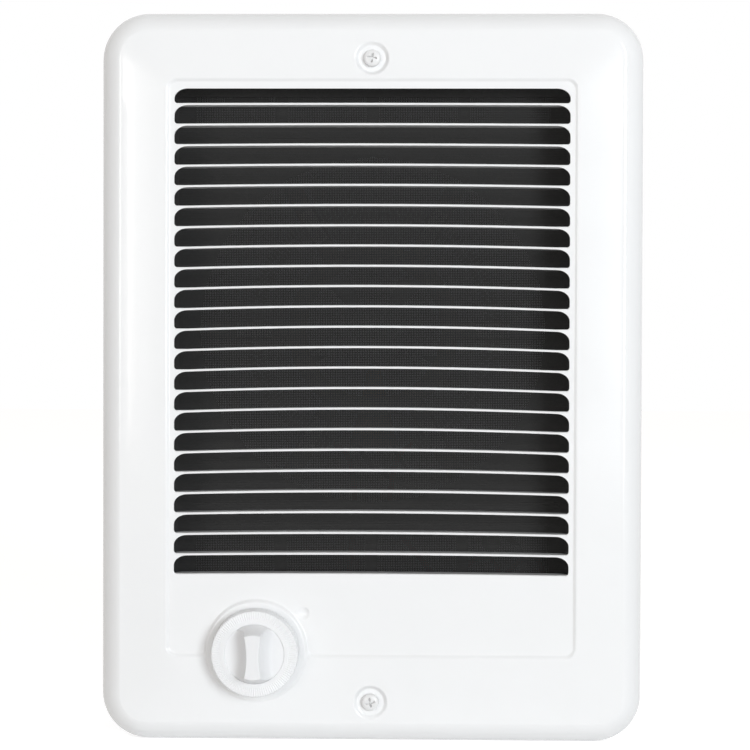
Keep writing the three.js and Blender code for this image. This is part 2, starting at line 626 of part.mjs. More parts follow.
function phillipsScrew(headRadius, headHeight, shankRadius, length) {
  const dome = headHeight * 0.7;
  const body = turned([[0, -headHeight], [headRadius * 0.6, -headHeight], [headRadius, -headHeight + dome],
    [headRadius, 0], [shankRadius, 0], [shankRadius, length - shankRadius], [0, length]], SMALL_ROUND);
  const [half, wide] = [CROSS_LENGTH / 2, CROSS_WIDTH / 2];
  const slot = box(-half, half, -headHeight - CUT, -headHeight + CROSS_DEPTH, -wide, wide);
  const crossSlot = box(-wide, wide, -headHeight - CUT, -headHeight + CROSS_DEPTH, -half, half);
  return cut(body, [slot, crossSlot]);
}

function grilleScrews() {
  const seat = SCREW_SEAT - SEAT_GAP;
  const body = phillipsScrew(SCREW_HEAD_RADIUS, SCREW_HEAD_HEIGHT, SCREW_SHANK_RADIUS, SCREW_REACH - seat);
  return [piece('grille_screw_top', body, whiteScrew, [0, seat, TOP_SCREW_Z]),
    piece('grille_screw_bottom', body, whiteScrew, [0, seat, BOTTOM_SCREW_Z])];
}

// ---- control knob ----

// outline of the finger grip, waisted at mid length
function gripRing(width, waist, length, y) {
  const [w, m, l] = [width / 2, waist / 2, length / 2];
  return ringAt([[w, -l], [m + (w - m) / 4, -l / 2], [m, 0], [m + (w - m) / 4, l / 2], [w, l],
    [-w, l], [-m - (w - m) / 4, l / 2], [-m, 0], [-m - (w - m) / 4, -l / 2], [-w, -l]], y);
}

function dSection(radius, flat, front, back) {
  return rod(radius, front, back, ROUND)
    .subtract(box(flat, radius + CUT, front - CUT, back + CUT, -radius, radius));
}

function knob() {
  const profile = [[0, KNOB_REAR], [KNOB_RADIUS, KNOB_REAR], [KNOB_FRONT_RADIUS, KNOB_FACE], [0, KNOB_FACE]];
  const hollow = ringOf(KNOB_SOCKET_RADIUS, KNOB_FRONT_RADIUS - KNOB_WALL,
    KNOB_FACE + KNOB_WALL, KNOB_REAR + CUT);
  const groove = ringOf(KNOB_HUB_RADIUS, KNOB_HUB_RADIUS + KNOB_HUB_GROOVE_WIDTH,
    KNOB_FACE - CUT, KNOB_FACE + KNOB_HUB_GROOVE_DEPTH, 2 * ROUND);
  const middle = (base, top) => top + (base - top) * GRIP_MIDDLE_SHARE;
  const foot = KNOB_FACE + KNOB_HUB_GROOVE_DEPTH;
  const grip = loft([gripRing(GRIP_BASE_WIDTH, GRIP_BASE_WIDTH, GRIP_BASE_LENGTH, foot),
    gripRing(middle(GRIP_BASE_WIDTH, GRIP_END_WIDTH), middle(GRIP_BASE_WIDTH, GRIP_WAIST_WIDTH),
      middle(GRIP_BASE_LENGTH, GRIP_LENGTH), KNOB_FACE - GRIP_HEIGHT / 2),
    gripRing(GRIP_END_WIDTH, GRIP_WAIST_WIDTH, GRIP_LENGTH, KNOB_FACE - GRIP_HEIGHT)]);
  const socket = dSection(SHAFT_RADIUS + SEAT_GAP, SHAFT_FLAT + SEAT_GAP,
    KNOB_REAR - KNOB_SOCKET_DEPTH, KNOB_REAR + CUT);
  const body = join([turned(profile, 2 * ROUND), grip]);
  return piece('control_knob', cut(body, [hollow, groove, socket]), knobPlastic);
}

function thermostatShaft() {
  const tip = KNOB_REAR - KNOB_SOCKET_DEPTH + SEAT_GAP;
  const flatEnd = BOSS_FRONT;
  const shaft = rod(SHAFT_RADIUS, tip, DECK_FRONT + SHAFT_REACH, ROUND)
    .subtract(box(SHAFT_FLAT, SHAFT_RADIUS + CUT, tip - CUT, flatEnd, -SHAFT_RADIUS, SHAFT_RADIUS));
  return piece('thermostat_shaft', shaft, zinc);
}

// ---- thermostat, in the knob's frame ----

function thermostatBody() {
  const [w, h] = [THERMOSTAT_WIDTH / 2, THERMOSTAT_HEIGHT / 2];
  const [front, back] = [BEHIND_DECK, BEHIND_DECK + THERMOSTAT_DEPTH];
  const shell = slab(roundedRectangle(-w, w, -h, h, 2, 2), front, back);
  const bushing = rod(BUSHING_RADIUS, front - BUSHING_LENGTH, front + CUT);
  const bore = rod(SHAFT_RADIUS + BEARING_RUNNING_GAP, front - BUSHING_LENGTH - CUT,
    front - BUSHING_LENGTH + THERMOSTAT_BORE_DEPTH);
  const terminalFront = back - TERMINAL_LENGTH;
  const terminal = (z) => box(w - CUT, w + TERMINAL_LENGTH, terminalFront, terminalFront + TERMINAL_SHEET,
    z - TERMINAL_WIDTH / 2, z + TERMINAL_WIDTH / 2);
  const body = join([shell, bushing, terminal(-TERMINAL_SPACING / 2), terminal(TERMINAL_SPACING / 2)]);
  return piece('thermostat_body', cut(body, [bore]), blackPlastic);
}

function bushingNut() {
  const front = SCREEN_REAR - NUT_HEIGHT;
  const nut = rod(NUT_ACROSS_CORNERS / 2, front, SCREEN_REAR, 6);
  const hole = rod(BUSHING_RADIUS + SEAT_GAP, front - CUT, SCREEN_REAR + CUT);
  return piece('thermostat_nut', cut(nut, [hole]), zinc);
}

function sensingBulb() {
  const bulb = crossRod('x', BULB_RADIUS, 0, BULB_LENGTH, SMALL_ROUND);
  const y = BEHIND_DECK + CLIP_WALL + SEAT_GAP + BULB_RADIUS;
  // out of the thermostat's side, up beside it and into the end of the bulb
  const [x0, y0, z0] = [THERMOSTAT_RIGHT + SEAT_GAP - BULB_LEFT,
    BEHIND_DECK + THERMOSTAT_DEPTH / 2 - y, KNOB_Z - BULB_Z];
  const route = [[x0, y0, z0], [x0 + 2, y0, z0], [-1.5, y0 / 2, z0 / 2], [-1.5, 0, 2], [1, 0, 0]];
  const capillary = tube(route, CAPILLARY_RADIUS, LEAD_SIDES, 10);
  return piece('sensing_bulb', join([bulb, capillary]), copperTube, [BULB_LEFT, y, BULB_Z]);
}

function bulbClip() {
  const bore = BULB_RADIUS + SEAT_GAP;
  const half = bore + CLIP_WALL;
  const [front, back] = [BEHIND_DECK, BEHIND_DECK + 2 * half];
  const block = box(-CLIP_WIDTH / 2, CLIP_WIDTH / 2, front, back, -half, half);
  const hole = crossRod('x', bore, -CLIP_WIDTH, CLIP_WIDTH, SMALL_ROUND).translate(0, front + half, 0);
  return piece('bulb_clip', cut(block, [hole]), zinc, [BULB_LEFT + BULB_LENGTH / 2, 0, BULB_Z]);
}

// ---- wall can ----

function wallCan() {
  const [x, z] = [CAN_WIDTH / 2, CAN_HEIGHT / 2];
  const outside = slab(roundedRectangle(-x, x, -z, z, CAN_CORNER_RADIUS, 2), CAN_FRONT, CAN_DEPTH);
  const inside = slab(roundedRectangle(-CAN_INSIDE_X, CAN_INSIDE_X, -CAN_INSIDE_Z, CAN_INSIDE_Z,
    CAN_CORNER_RADIUS - CAN_SHEET, 2), CAN_FRONT - CUT, CAN_FLOOR);
  const half = TAB_WIDTH / 2;
  const tabs = [box(-half, half, CAN_FRONT, 0, CAN_INSIDE_Z, TOP_SCREW_Z + TAB_PAST_SCREW),
    box(-half, half, CAN_FRONT, 0, BOTTOM_SCREW_Z - TAB_PAST_SCREW, -CAN_INSIDE_Z)];
  const lug = (side, row) => box(Math.min(side * (CAN_INSIDE_X - LUG_LENGTH), side * (x - CAN_SHEET / 2)),
    Math.max(side * (CAN_INSIDE_X - LUG_LENGTH), side * (x - CAN_SHEET / 2)),
    BEHIND_DECK, BEHIND_DECK + CAN_SHEET, row * LUG_Z - LUG_WIDTH / 2, row * LUG_Z + LUG_WIDTH / 2);
  const corners = [[-1, -1], [-1, 1], [1, -1], [1, 1]];
  const lugHole = rod(DECK_SCREW_RADIUS + SEAT_GAP, DECK_REAR, BEHIND_DECK + CAN_SHEET + CUT, SMALL_ROUND);
  const lugHoles = corners.map(([side, row]) => lugHole.translate(side * DECK_SCREW_X, 0, row * LUG_Z));
  const screwHoles = [TOP_SCREW_Z, BOTTOM_SCREW_Z].map((row) =>
    rod(SCREW_SHANK_RADIUS + SEAT_GAP, CAN_FRONT - CUT, CUT, SMALL_ROUND).translate(0, 0, row));
  const nailHoles = NAIL_HOLE_DEPTHS.flatMap((y) => [-NAIL_HOLE_Z, NAIL_HOLE_Z].map((row) =>
    crossRod('x', NAIL_HOLE_RADIUS, -x - CUT, x + CUT, SMALL_ROUND).translate(0, y, row)));
  const inlet = crossRod('z', INLET_RADIUS, CAN_INSIDE_Z - CUT, z + CUT).translate(INLET_X, INLET_Y, 0);
  const knockouts = [
    crossRod('z', KNOCKOUT_RADIUS, z - KNOCKOUT_GROOVE, z + CUT).translate(KNOCKOUT_X, INLET_Y, 0),
    crossRod('z', KNOCKOUT_RADIUS, -z - CUT, -z + KNOCKOUT_GROOVE).translate(KNOCKOUT_X, INLET_Y, 0),
    rod(KNOCKOUT_RADIUS, CAN_DEPTH - KNOCKOUT_GROOVE, CAN_DEPTH + CUT).translate(-KNOCKOUT_X, 0, -LUG_Z)];
  const groundHole = rod(SCREW_SHANK_RADIUS + SEAT_GAP, CAN_FLOOR - CUT, CAN_DEPTH + CUT, SMALL_ROUND)
    .translate(GROUND_SCREW_X, 0, GROUND_SCREW_Z);
  const shell = join([cut(outside, [inside]), ...tabs, ...corners.map(([side, row]) => lug(side, row))]);
  const holes = [...lugHoles, ...screwHoles, ...nailHoles, inlet, ...knockouts, groundHole];
  return piece('wall_can', cut(shell, holes), galvanised);
}

function inletBushing() {
  const outer = INLET_RADIUS - SEAT_GAP;
  const inner = outer - BUSHING_WALL;
  const seat = CAN_HEIGHT / 2 + SEAT_GAP;
  const foot = CAN_INSIDE_Z - BUSHING_SLEEVE_REACH;
  const [rim, top] = [outer + BUSHING_FLANGE, seat + BUSHING_FLANGE_HEIGHT];
  const bushing = turned([[inner, foot], [outer, foot], [outer, seat], [rim, seat], [rim, top], [inner, top],
    [inner, foot]]);
  return piece('cable_inlet_bushing', bushing.rotate([90, 0, 0]), blackPlastic, [INLET_X, INLET_Y, 0]);
}

function groundScrew() {
  const seat = CAN_FLOOR - SEAT_GAP;
  const body = phillipsScrew(GROUND_HEAD_RADIUS, GROUND_HEAD_HEIGHT, SCREW_SHANK_RADIUS, CAN_DEPTH - seat);
  return piece('ground_screw', body, greenScrew, [GROUND_SCREW_X, seat, GROUND_SCREW_Z]);
}

// ---- deck and screen ----

function deck() {
  const [x, z] = [CAN_INSIDE_X - DECK_SIDE_GAP, CAN_INSIDE_Z - DECK_SIDE_GAP];
  const plate = slab(roundedRectangle(-x, x, -z, z, CAN_CORNER_RADIUS - CAN_SHEET, 2), DECK_FRONT, DECK_REAR);
  const flange = (from) => box(-DECK_FLANGE_HALF_WIDTH, DECK_FLANGE_HALF_WIDTH, DECK_FRONT + DECK_SHEET / 2,
    DECK_REAR + DECK_FLANGE_DEPTH, from, from + DECK_SHEET);
  const through = (body, [px, pz]) => body.translate(px, 0, pz);
  const hole = (radius, place, sides = ROUND) =>
    through(rod(radius, DECK_FRONT - CUT, DECK_REAR + CUT, sides), place);
  const half = INTAKE_WIDTH / 2;
  const middles = Array.from({ length: INTAKE_COLUMNS }, (_, i) =>
    (i - (INTAKE_COLUMNS - 1) / 2) * INTAKE_PITCH);
  const rows = [[INTAKE_TOP - INTAKE_HEIGHT, INTAKE_TOP],
    [UPPER_INTAKE_BOTTOM, UPPER_INTAKE_BOTTOM + UPPER_INTAKE_HEIGHT]];
  const windows = middles.flatMap((middle) => rows.map(([low, high]) =>
    box(middle - half, middle + half, DECK_FRONT - CUT, DECK_REAR + CUT, low, high)));
  const screws = [[-1, -1], [-1, 1], [1, -1], [1, 1]].map(([side, row]) =>
    hole(DECK_SCREW_RADIUS + SEAT_GAP, [side * DECK_SCREW_X, row * LUG_Z], SMALL_ROUND));
  const body = join([plate, flange(-z), flange(z - DECK_SHEET)]);
  return piece('heater_deck', cut(body, [hole(OUTLET_RADIUS, [0, FAN_Z], SHROUD_SIDES),
    hole(BUSHING_RADIUS + SEAT_GAP, [KNOB_X, KNOB_Z]), hole(BUTTON_RADIUS + 2 * SEAT_GAP, [LIMIT_X, LIMIT_Z]),
    ...windows, ...screws]), matteBlack);
}

function deckScrews() {
  const seat = DECK_FRONT - SEAT_GAP;
  const body = phillipsScrew(DECK_SCREW_HEAD_RADIUS, DECK_SCREW_HEAD_HEIGHT, DECK_SCREW_RADIUS,
    BEHIND_DECK + CAN_SHEET + DECK_SCREW_REACH - seat);
  return [[-1, -1], [-1, 1], [1, -1], [1, 1]].map(([side, row], i) =>
    piece(`deck_screw_${i + 1}`, body, zinc, [side * DECK_SCREW_X, seat, row * LUG_Z]));
}

function screen() {
  const plate = box(-SCREEN_HALF_WIDTH, SCREEN_HALF_WIDTH, SCREEN_REAR - SCREEN_SHEET, SCREEN_REAR,
    SCREEN_BOTTOM, SCREEN_TOP);
  const cellWidth = (2 * (SCREEN_HALF_WIDTH - SCREEN_BORDER) + SCREEN_BAR) / SCREEN_COLUMNS;
  const cellHeight = (SCREEN_TOP - SCREEN_BOTTOM - 2 * SCREEN_BORDER + SCREEN_BAR) / SCREEN_ROWS;
  const cells = [];
  for (let column = 0; column < SCREEN_COLUMNS; column += 1) {
    for (let row = 0; row < SCREEN_ROWS; row += 1) {
      const left = -SCREEN_HALF_WIDTH + SCREEN_BORDER + column * cellWidth;
      const low = SCREEN_BOTTOM + SCREEN_BORDER + row * cellHeight;
      cells.push(box(left, left + cellWidth - SCREEN_BAR, SCREEN_REAR - SCREEN_SHEET - CUT, SCREEN_REAR + CUT,
        low, low + cellHeight - SCREEN_BAR));
    }
  }
  return piece('louver_screen', cut(plate, cells), matteBlack);
}

// ---- outlet: shroud, element and frame, in the fan's frame ----

function shroud() {
  const outer = SHROUD_RADIUS + SHROUD_SHEET;
  const flangeRear = BEHIND_DECK + SHROUD_SHEET;
  const lipFront = SHROUD_REAR - SHROUD_SHEET;
  const body = turned([[SHROUD_RADIUS, BEHIND_DECK], [SHROUD_FLANGE_RADIUS, BEHIND_DECK],
    [SHROUD_FLANGE_RADIUS, flangeRear], [outer, flangeRear], [outer, lipFront],
    [SHROUD_LIP_RADIUS, lipFront], [SHROUD_LIP_RADIUS, SHROUD_REAR], [SHROUD_RADIUS, SHROUD_REAR],
    [SHROUD_RADIUS, BEHIND_DECK]], SHROUD_SIDES);
  const notch = box(-NOTCH_HALF_WIDTH, NOTCH_HALF_WIDTH, COIL_Y - NOTCH_HALF_DEPTH, COIL_Y + NOTCH_HALF_DEPTH,
    -outer - CUT, -SHROUD_RADIUS / 2);
  return piece('outlet_shroud', cut(body, [notch]), galvanised);
}

function elementCoil() {
  const points = Array.from({ length: COIL_STEPS + 1 }, (_, i) => {
    const [x, z] = polar(COIL_RING_RADIUS, COIL_START + (COIL_SWEEP * i) / COIL_STEPS);
    return [x, COIL_Y, z];
  });
  return piece('element_coil', tube(points, COIL_RADIUS, 8, COIL_STEPS), nichrome);
}

const armAngles = Array.from({ length: ARM_COUNT }, (_, i) => (360 * i) / ARM_COUNT);

function elementFrame() {
  const reach = SHROUD_RADIUS * Math.cos(Math.PI / SHROUD_SIDES) - SEAT_GAP;
  const [front, rear] = [FRAME_FRONT, FRAME_FRONT + FRAME_SHEET];
  const ring = ringOf(FRAME_RING_RADIUS - FRAME_RING_WIDTH, FRAME_RING_RADIUS, front, rear);
  const arm = box(FRAME_RING_RADIUS - FRAME_RING_WIDTH / 2, reach, front, rear,
    -ARM_WIDTH / 2, ARM_WIDTH / 2);
  const arms = armAngles.map((angle) => arm.rotate([0, -angle, 0]));
  return piece('element_frame', join([ring, ...arms]), mica);
}

function insulators() {
  const half = INSULATOR_RADIAL / 2;
  const block = box(COIL_RING_RADIUS - half, COIL_RING_RADIUS + half, COIL_Y - COIL_RADIUS - INSULATOR_LIP,
    FRAME_FRONT - SEAT_GAP, -INSULATOR_TANGENTIAL / 2, INSULATOR_TANGENTIAL / 2);
  const hole = crossRod('z', COIL_RADIUS + INSULATOR_CLEARANCE, -INSULATOR_TANGENTIAL, INSULATOR_TANGENTIAL,
    SMALL_ROUND).translate(COIL_RING_RADIUS, COIL_Y, 0);
  const body = cut(block, [hole]);
  return armAngles.map((angle, i) => piece(`coil_insulator_${i + 1}`, body.rotate([0, -angle, 0]), ceramic));
}

// ---- fan ----

// one blade: a twisted sheet between the hub and the tip
function fanBlade(angle) {
  const [radial, chord] = [3, 3];
  const grid = (side) => {
    const points = [];
    for (let i = 0; i <= radial; i += 1) {
      const share = i / radial;
      const radius = FAN_HUB_RADIUS - CUT + (FAN_RADIUS - FAN_HUB_RADIUS + CUT) * share;
      const span = FAN_ROOT_SPAN + (FAN_TIP_SPAN - FAN_ROOT_SPAN) * share;
      for (let j = 0; j <= chord; j += 1) {
        const across = j / chord - 0.5;
        const [x, z] = polar(radius, angle + across * span);
        points.push(new THREE.Vector3(x, across * FAN_AXIAL + (side * FAN_BLADE_SHEET) / 2, z));
      }
    }
    return points;
  };
  const points = [...grid(-1), ...grid(1)];
  const back = (radial + 1) * (chord + 1);
  const index = [];
  const quad = (a, b, c, d) => index.push(a, b, c, a, c, d);
  const at = (i, j) => i * (chord + 1) + j;
  for (let i = 0; i < radial; i += 1) {
    for (let j = 0; j < chord; j += 1) {
      const [a, b, c, d] = [at(i, j), at(i + 1, j), at(i + 1, j + 1), at(i, j + 1)];
      quad(a, b, c, d);
      quad(back + a, back + d, back + c, back + b);
    }
  }
  for (let i = 0; i < radial; i += 1) {
    quad(at(i, 0), back + at(i, 0), back + at(i + 1, 0), at(i + 1, 0));
    quad(at(i + 1, chord), back + at(i + 1, chord), back + at(i, chord), at(i, chord));
  }
  for (let j = 0; j < chord; j += 1) {
    quad(at(0, j + 1), back + at(0, j + 1), back + at(0, j), at(0, j));
    quad(at(radial, j), back + at(radial, j), back + at(radial, j + 1), at(radial, j + 1));
  }
  const geometry = new THREE.BufferGeometry().setFromPoints(points);
  geometry.setIndex(index);
  return solid(geometry);
}

function fan() {
  const blades = Array.from({ length: FAN_BLADES }, (_, i) => fanBlade(90 + (360 * i) / FAN_BLADES));
  const hub = rod(FAN_HUB_RADIUS, -FAN_HUB_HALF, FAN_HUB_HALF);
  const bore = rod(MOTOR_SHAFT_RADIUS + SEAT_GAP, -FAN_HUB_HALF - CUT, FAN_HUB_HALF + CUT);
  return piece('fan_blade', cut(join([hub, ...blades]), [bore]), aluminium, [0, FAN_MIDDLE, 0]);
}

function fanClip() {
  return piece('fan_clip', ringOf(MOTOR_SHAFT_RADIUS + SEAT_GAP, FAN_CLIP_RADIUS, CLIP_FRONT,
    CLIP_FRONT + FAN_CLIP_HEIGHT, SMALL_ROUND), zinc);
}

// ---- motor, in the fan's frame ----

function motorShaft() {
  return piece('motor_shaft', rod(MOTOR_SHAFT_RADIUS, MOTOR_SHAFT_FRONT, MOTOR_SHAFT_REAR), zinc);
}

function motorRotor() {
  const [front, rear] = [STACK_FRONT - ROTOR_RING, STACK_REAR + ROTOR_RING];
  return piece('motor_rotor', ringOf(MOTOR_SHAFT_RADIUS + SEAT_GAP, ROTOR_RADIUS, front, rear), lamination);
}

function motorStator() {
  const outline = rectangle(-STACK_HALF_WIDTH, STACK_HALF_WIDTH, STACK_BOTTOM, STACK_TOP);
  const block = slab(outline, STACK_FRONT, STACK_REAR);
  const inner = STACK_HALF_WIDTH - STACK_LEG;
  const [front, rear] = [STACK_FRONT - CUT, STACK_REAR + CUT];
  const window = slab(rectangle(-inner, inner, STACK_BOTTOM + STACK_LEG, WINDOW_TOP), front, rear);
  const bore = rod(ROTOR_RADIUS + AIR_GAP, front, rear, 2 * ROUND);
  const screwHoles = [-MOTOR_SCREW_X, MOTOR_SCREW_X].map((x) =>
    rod(MOTOR_SCREW_RADIUS + SEAT_GAP, front, rear, SMALL_ROUND).translate(x, 0, 0));
  return piece('motor_stator', cut(block, [window, bore, ...screwHoles]), lamination);
}

function motorWinding() {
  const hole = [STACK_BOTTOM - SEAT_GAP, STACK_BOTTOM + STACK_LEG + SEAT_GAP];
  const outer = box(-WINDING_HALF_WIDTH, WINDING_HALF_WIDTH,
    STACK_FRONT - WINDING_BUILD, STACK_REAR + WINDING_BUILD,
    hole[0] - WINDING_BUILD, WINDOW_TOP - 2 * SEAT_GAP);
  const core = box(-WINDING_HALF_WIDTH - CUT, WINDING_HALF_WIDTH + CUT,
    STACK_FRONT - SEAT_GAP, STACK_REAR + SEAT_GAP, hole[0], hole[1]);
  return piece('motor_winding', cut(outer, [core]), copper);
}

// a strip across the stack that carries one bearing, with feet on the laminations
function motorBracket(name, face, foot) {
  const outward = Math.sign(foot - face);
  const span = (a, b) => [Math.min(a, b), Math.max(a, b)];
  const plate = box(-STACK_HALF_WIDTH, STACK_HALF_WIDTH, ...span(face, face + outward * BRACKET_SHEET),
    -BRACKET_HALF_HEIGHT, BRACKET_HALF_HEIGHT);
  const leg = (side) => box(...span(side * STACK_HALF_WIDTH, side * (MOTOR_SCREW_X - 2 * MOTOR_SCREW_RADIUS)),
    ...span(face, foot - outward * SEAT_GAP), -BRACKET_HALF_HEIGHT, BRACKET_HALF_HEIGHT);
  const depths = span(face - outward * CUT, foot);
  const screwHoles = [-MOTOR_SCREW_X, MOTOR_SCREW_X].map((x) =>
    rod(MOTOR_SCREW_RADIUS + SEAT_GAP, ...depths, SMALL_ROUND).translate(x, 0, 0));
  const bearingHole = rod(BEARING_RADIUS + SEAT_GAP, ...depths, SMALL_ROUND);
  return piece(name, cut(join([plate, leg(-1), leg(1)]), [bearingHole, ...screwHoles]), zinc);
}

function bearing(name, front) {
  const bore = MOTOR_SHAFT_RADIUS + BEARING_RUNNING_GAP;
  return piece(name, ringOf(bore, BEARING_RADIUS, front, front + BEARING_LENGTH), sintered);
}

function motorStrap() {
  const half = STRAP_HEIGHT / 2;
  const bar = box(-STRAP_HALF_LENGTH, STRAP_HALF_LENGTH, STRAP_FRONT, STRAP_FRONT + STRAP_SHEET, -half, half);
  const hole = (radius, x) =>
    rod(radius, STRAP_FRONT - CUT, STRAP_FRONT + STRAP_SHEET + CUT, SMALL_ROUND).translate(x, 0, 0);
  const screwHoles = [-MOTOR_SCREW_X, MOTOR_SCREW_X].map((x) => hole(MOTOR_SCREW_RADIUS + SEAT_GAP, x));
  return piece('motor_strap', cut(bar, [hole(STRAP_HOLE_RADIUS, 0), ...screwHoles]), galvanised);
}

// two long screws clamp strap, brackets and laminations together
function motorScrews() {
  const seat = BRACKET_REAR_FACE + SEAT_GAP;
  const body = phillipsScrew(MOTOR_SCREW_HEAD_RADIUS, MOTOR_SCREW_HEAD_HEIGHT, MOTOR_SCREW_RADIUS,
    seat - STRAP_FRONT).rotate([0, 0, 180]);
  return [piece('motor_screw_left', body, zinc, [-MOTOR_SCREW_X, seat, 0]),
    piece('motor_screw_right', body, zinc, [MOTOR_SCREW_X, seat, 0])];
}

// ---- high limit switch, in its own frame ----

function limitSwitch() {
  const rear = LIMIT_REAR;
  const flangeRear = BEHIND_DECK + LIMIT_FLANGE_SHEET;
  const shell = turned([[0, BEHIND_DECK], [LIMIT_FLANGE_RADIUS, BEHIND_DECK],
    [LIMIT_FLANGE_RADIUS, flangeRear], [LIMIT_BODY_RADIUS, flangeRear],
    [LIMIT_BODY_RADIUS, rear], [0, rear]]);
  const terminal = (x) => box(x - TERMINAL_SHEET / 2, x + TERMINAL_SHEET / 2,
    rear - CUT, rear + TERMINAL_LENGTH, -TERMINAL_WIDTH / 2, TERMINAL_WIDTH / 2);
  const guide = rod(BUTTON_RADIUS + BUTTON_RUNNING_GAP, BEHIND_DECK - CUT, rear - LIMIT_WALL);
  const chamber = rod(BUTTON_COLLAR_RADIUS + BUTTON_RUNNING_GAP, flangeRear, rear - LIMIT_WALL);
  const body = join([shell, terminal(-LIMIT_BODY_RADIUS / 2), terminal(LIMIT_BODY_RADIUS / 2)]);
  return piece('limit_switch', cut(body, [guide, chamber]), blackPlastic);
}

const COLLAR_FRONT = BEHIND_DECK + LIMIT_FLANGE_SHEET + BUTTON_RUNNING_GAP;
const COLLAR_REAR = COLLAR_FRONT + BUTTON_COLLAR_HEIGHT;

function resetButton() {
  const cap = BUTTON_RADIUS - BUTTON_EDGE;
  return piece('reset_button', turned([[0, BUTTON_FRONT], [cap, BUTTON_FRONT],
    [BUTTON_RADIUS, BUTTON_FRONT + BUTTON_EDGE], [BUTTON_RADIUS, COLLAR_FRONT],
    [BUTTON_COLLAR_RADIUS, COLLAR_FRONT], [BUTTON_COLLAR_RADIUS, COLLAR_REAR],
    [0, COLLAR_REAR]]), redPlastic);
}

// the button's return spring as a sleeve at its pressed length
function resetSpring() {
  return piece('reset_spring', ringOf(BUTTON_RADIUS - SPRING_WALL / 2, BUTTON_RADIUS + SPRING_WALL / 2,
    COLLAR_REAR + BUTTON_TRAVEL + SEAT_GAP, LIMIT_REAR - LIMIT_WALL - SEAT_GAP, SMALL_ROUND), zinc);
}

// ---- wiring ----

function wireNut(name, x) {
  const foot = -CAN_INSIDE_Z + SEAT_GAP;
  const cap = turned([[0, foot], [WIRE_NUT_TIP_RADIUS, foot], [WIRE_NUT_RADIUS, foot + WIRE_NUT_HEIGHT],
    [0, foot + WIRE_NUT_HEIGHT]], 10);
  const top = foot + WIRE_NUT_HEIGHT;
  const socket = rod(WIRE_NUT_TIP_RADIUS + LEAD_RADIUS / 2, top - WIRE_NUT_SOCKET, top + CUT, 10);
  return piece(name, cut(cap, [socket]).rotate([90, 0, 0]), orangeNut, [x, WIRE_NUT_Y, 0]);
}

// a point past the end of the heating coil, along its tangent
function pastCoil(degrees, turn, distance) {
  const [x, z] = polar(COIL_RING_RADIUS, degrees);
  const [tx, tz] = polar(distance, degrees + turn * 90);
  return [x + tx, COIL_Y, FAN_Z + z + tz];
}

function leads() {
  const nutMouth = -CAN_INSIDE_Z + SEAT_GAP + WIRE_NUT_HEIGHT - WIRE_NUT_SOCKET + SEAT_GAP;
  const terminalY = BEHIND_DECK + THERMOSTAT_DEPTH - TERMINAL_LENGTH + TERMINAL_SHEET / 2;
  const terminalX = THERMOSTAT_RIGHT + TERMINAL_LENGTH + SEAT_GAP;
  const limitY = LIMIT_REAR + TERMINAL_LENGTH + SEAT_GAP;
  const windingZ = FAN_Z + STACK_BOTTOM - 2 * SEAT_GAP - WINDING_BUILD;
  const windingY = STACK_REAR + WINDING_BUILD / 2;
  const notchZ = FAN_Z - SHROUD_RADIUS;
  const ends = (along) => [SEAT_GAP, LEAD_STRAIGHT].map(along);
  const thermostatEnd = (row) => ends((out) =>
    [terminalX - SEAT_GAP + out, terminalY, KNOB_Z + (row * TERMINAL_SPACING) / 2]);
  const limitEnd = (side) => ends((out) =>
    [LIMIT_X + (side * LIMIT_BODY_RADIUS) / 2, limitY - SEAT_GAP + out, LIMIT_Z]);
  const windingEnd = (side) => ends((out) => [side * LEAD_SPREAD, windingY, windingZ + SEAT_GAP - out]);
  const coilEnd = (degrees, turn) => ends((out) => pastCoil(degrees, turn, out));
  // down into a wire nut, on one side of its middle
  const intoNut = (x, side) => [LEAD_DROP, 2 * LEAD_STRAIGHT, 0].map((up, i) =>
    [x + side * (i === 0 ? LEAD_SPREAD : LEAD_RADIUS * 2), WIRE_NUT_Y, nutMouth + up]);
  const throughNotch = (side) => [NOTCH_MARGIN, -NOTCH_MARGIN].map((up) =>
    [side * LEAD_SPREAD, COIL_Y, notchZ + up]);
  const middle = (a, b) => a.map((value, i) => (value + b[i]) / 2);
  const [nutA, nutB] = WIRE_NUT_XS;
  const [lowEnd, highEnd] = [thermostatEnd(-1), thermostatEnd(1)];
  const [limitLeft, limitRight] = [limitEnd(-1), limitEnd(1)];
  const [windingLeft, windingRight] = [windingEnd(-1), windingEnd(1)];
  const [leftNotch, rightNotch] = [throughNotch(-1), throughNotch(1)];
  const behindLimit = [LIMIT_X, limitY + 3 * LEAD_STRAIGHT, LIMIT_Z + LIMIT_BODY_RADIUS];
  const nutLow = intoNut(nutA, -1);
  const [bendX, bendY, bendZ] = middle(rightNotch[1], limitLeft[1]);
  const routes = {
    lead_element_thermostat: [...coilEnd(COIL_START + COIL_SWEEP, 1), ...leftNotch,
      middle(leftNotch[1], highEnd[1]), ...highEnd.reverse()],
    lead_element_limit: [...coilEnd(COIL_START, -1), ...rightNotch,
      [bendX, bendY + LEAD_SPREAD, bendZ], ...limitLeft.reverse()],
    lead_supply_thermostat: [...lowEnd, middle(lowEnd[1], nutLow[0]), ...nutLow],
    lead_supply_limit: [...limitRight, middle(behindLimit, intoNut(nutB, -1)[0]), ...intoNut(nutB, -1)],
    lead_motor_a: [...windingLeft, middle(windingLeft[1], intoNut(nutA, 1)[0]), ...intoNut(nutA, 1)],
    lead_motor_b: [...windingRight, middle(windingRight[1], intoNut(nutB, 1)[0]), ...intoNut(nutB, 1)],
  };
  return Object.entries(routes).map(([name, route]) =>
    piece(name, tube(route), name.includes('motor') ? blackWire : redWire));
}

// ---- the heater ----

function placed(meshes, x, y, z) {
  const group = new THREE.Group();
  group.add(...meshes);
  group.position.set(x, y, z);
  return group;
}

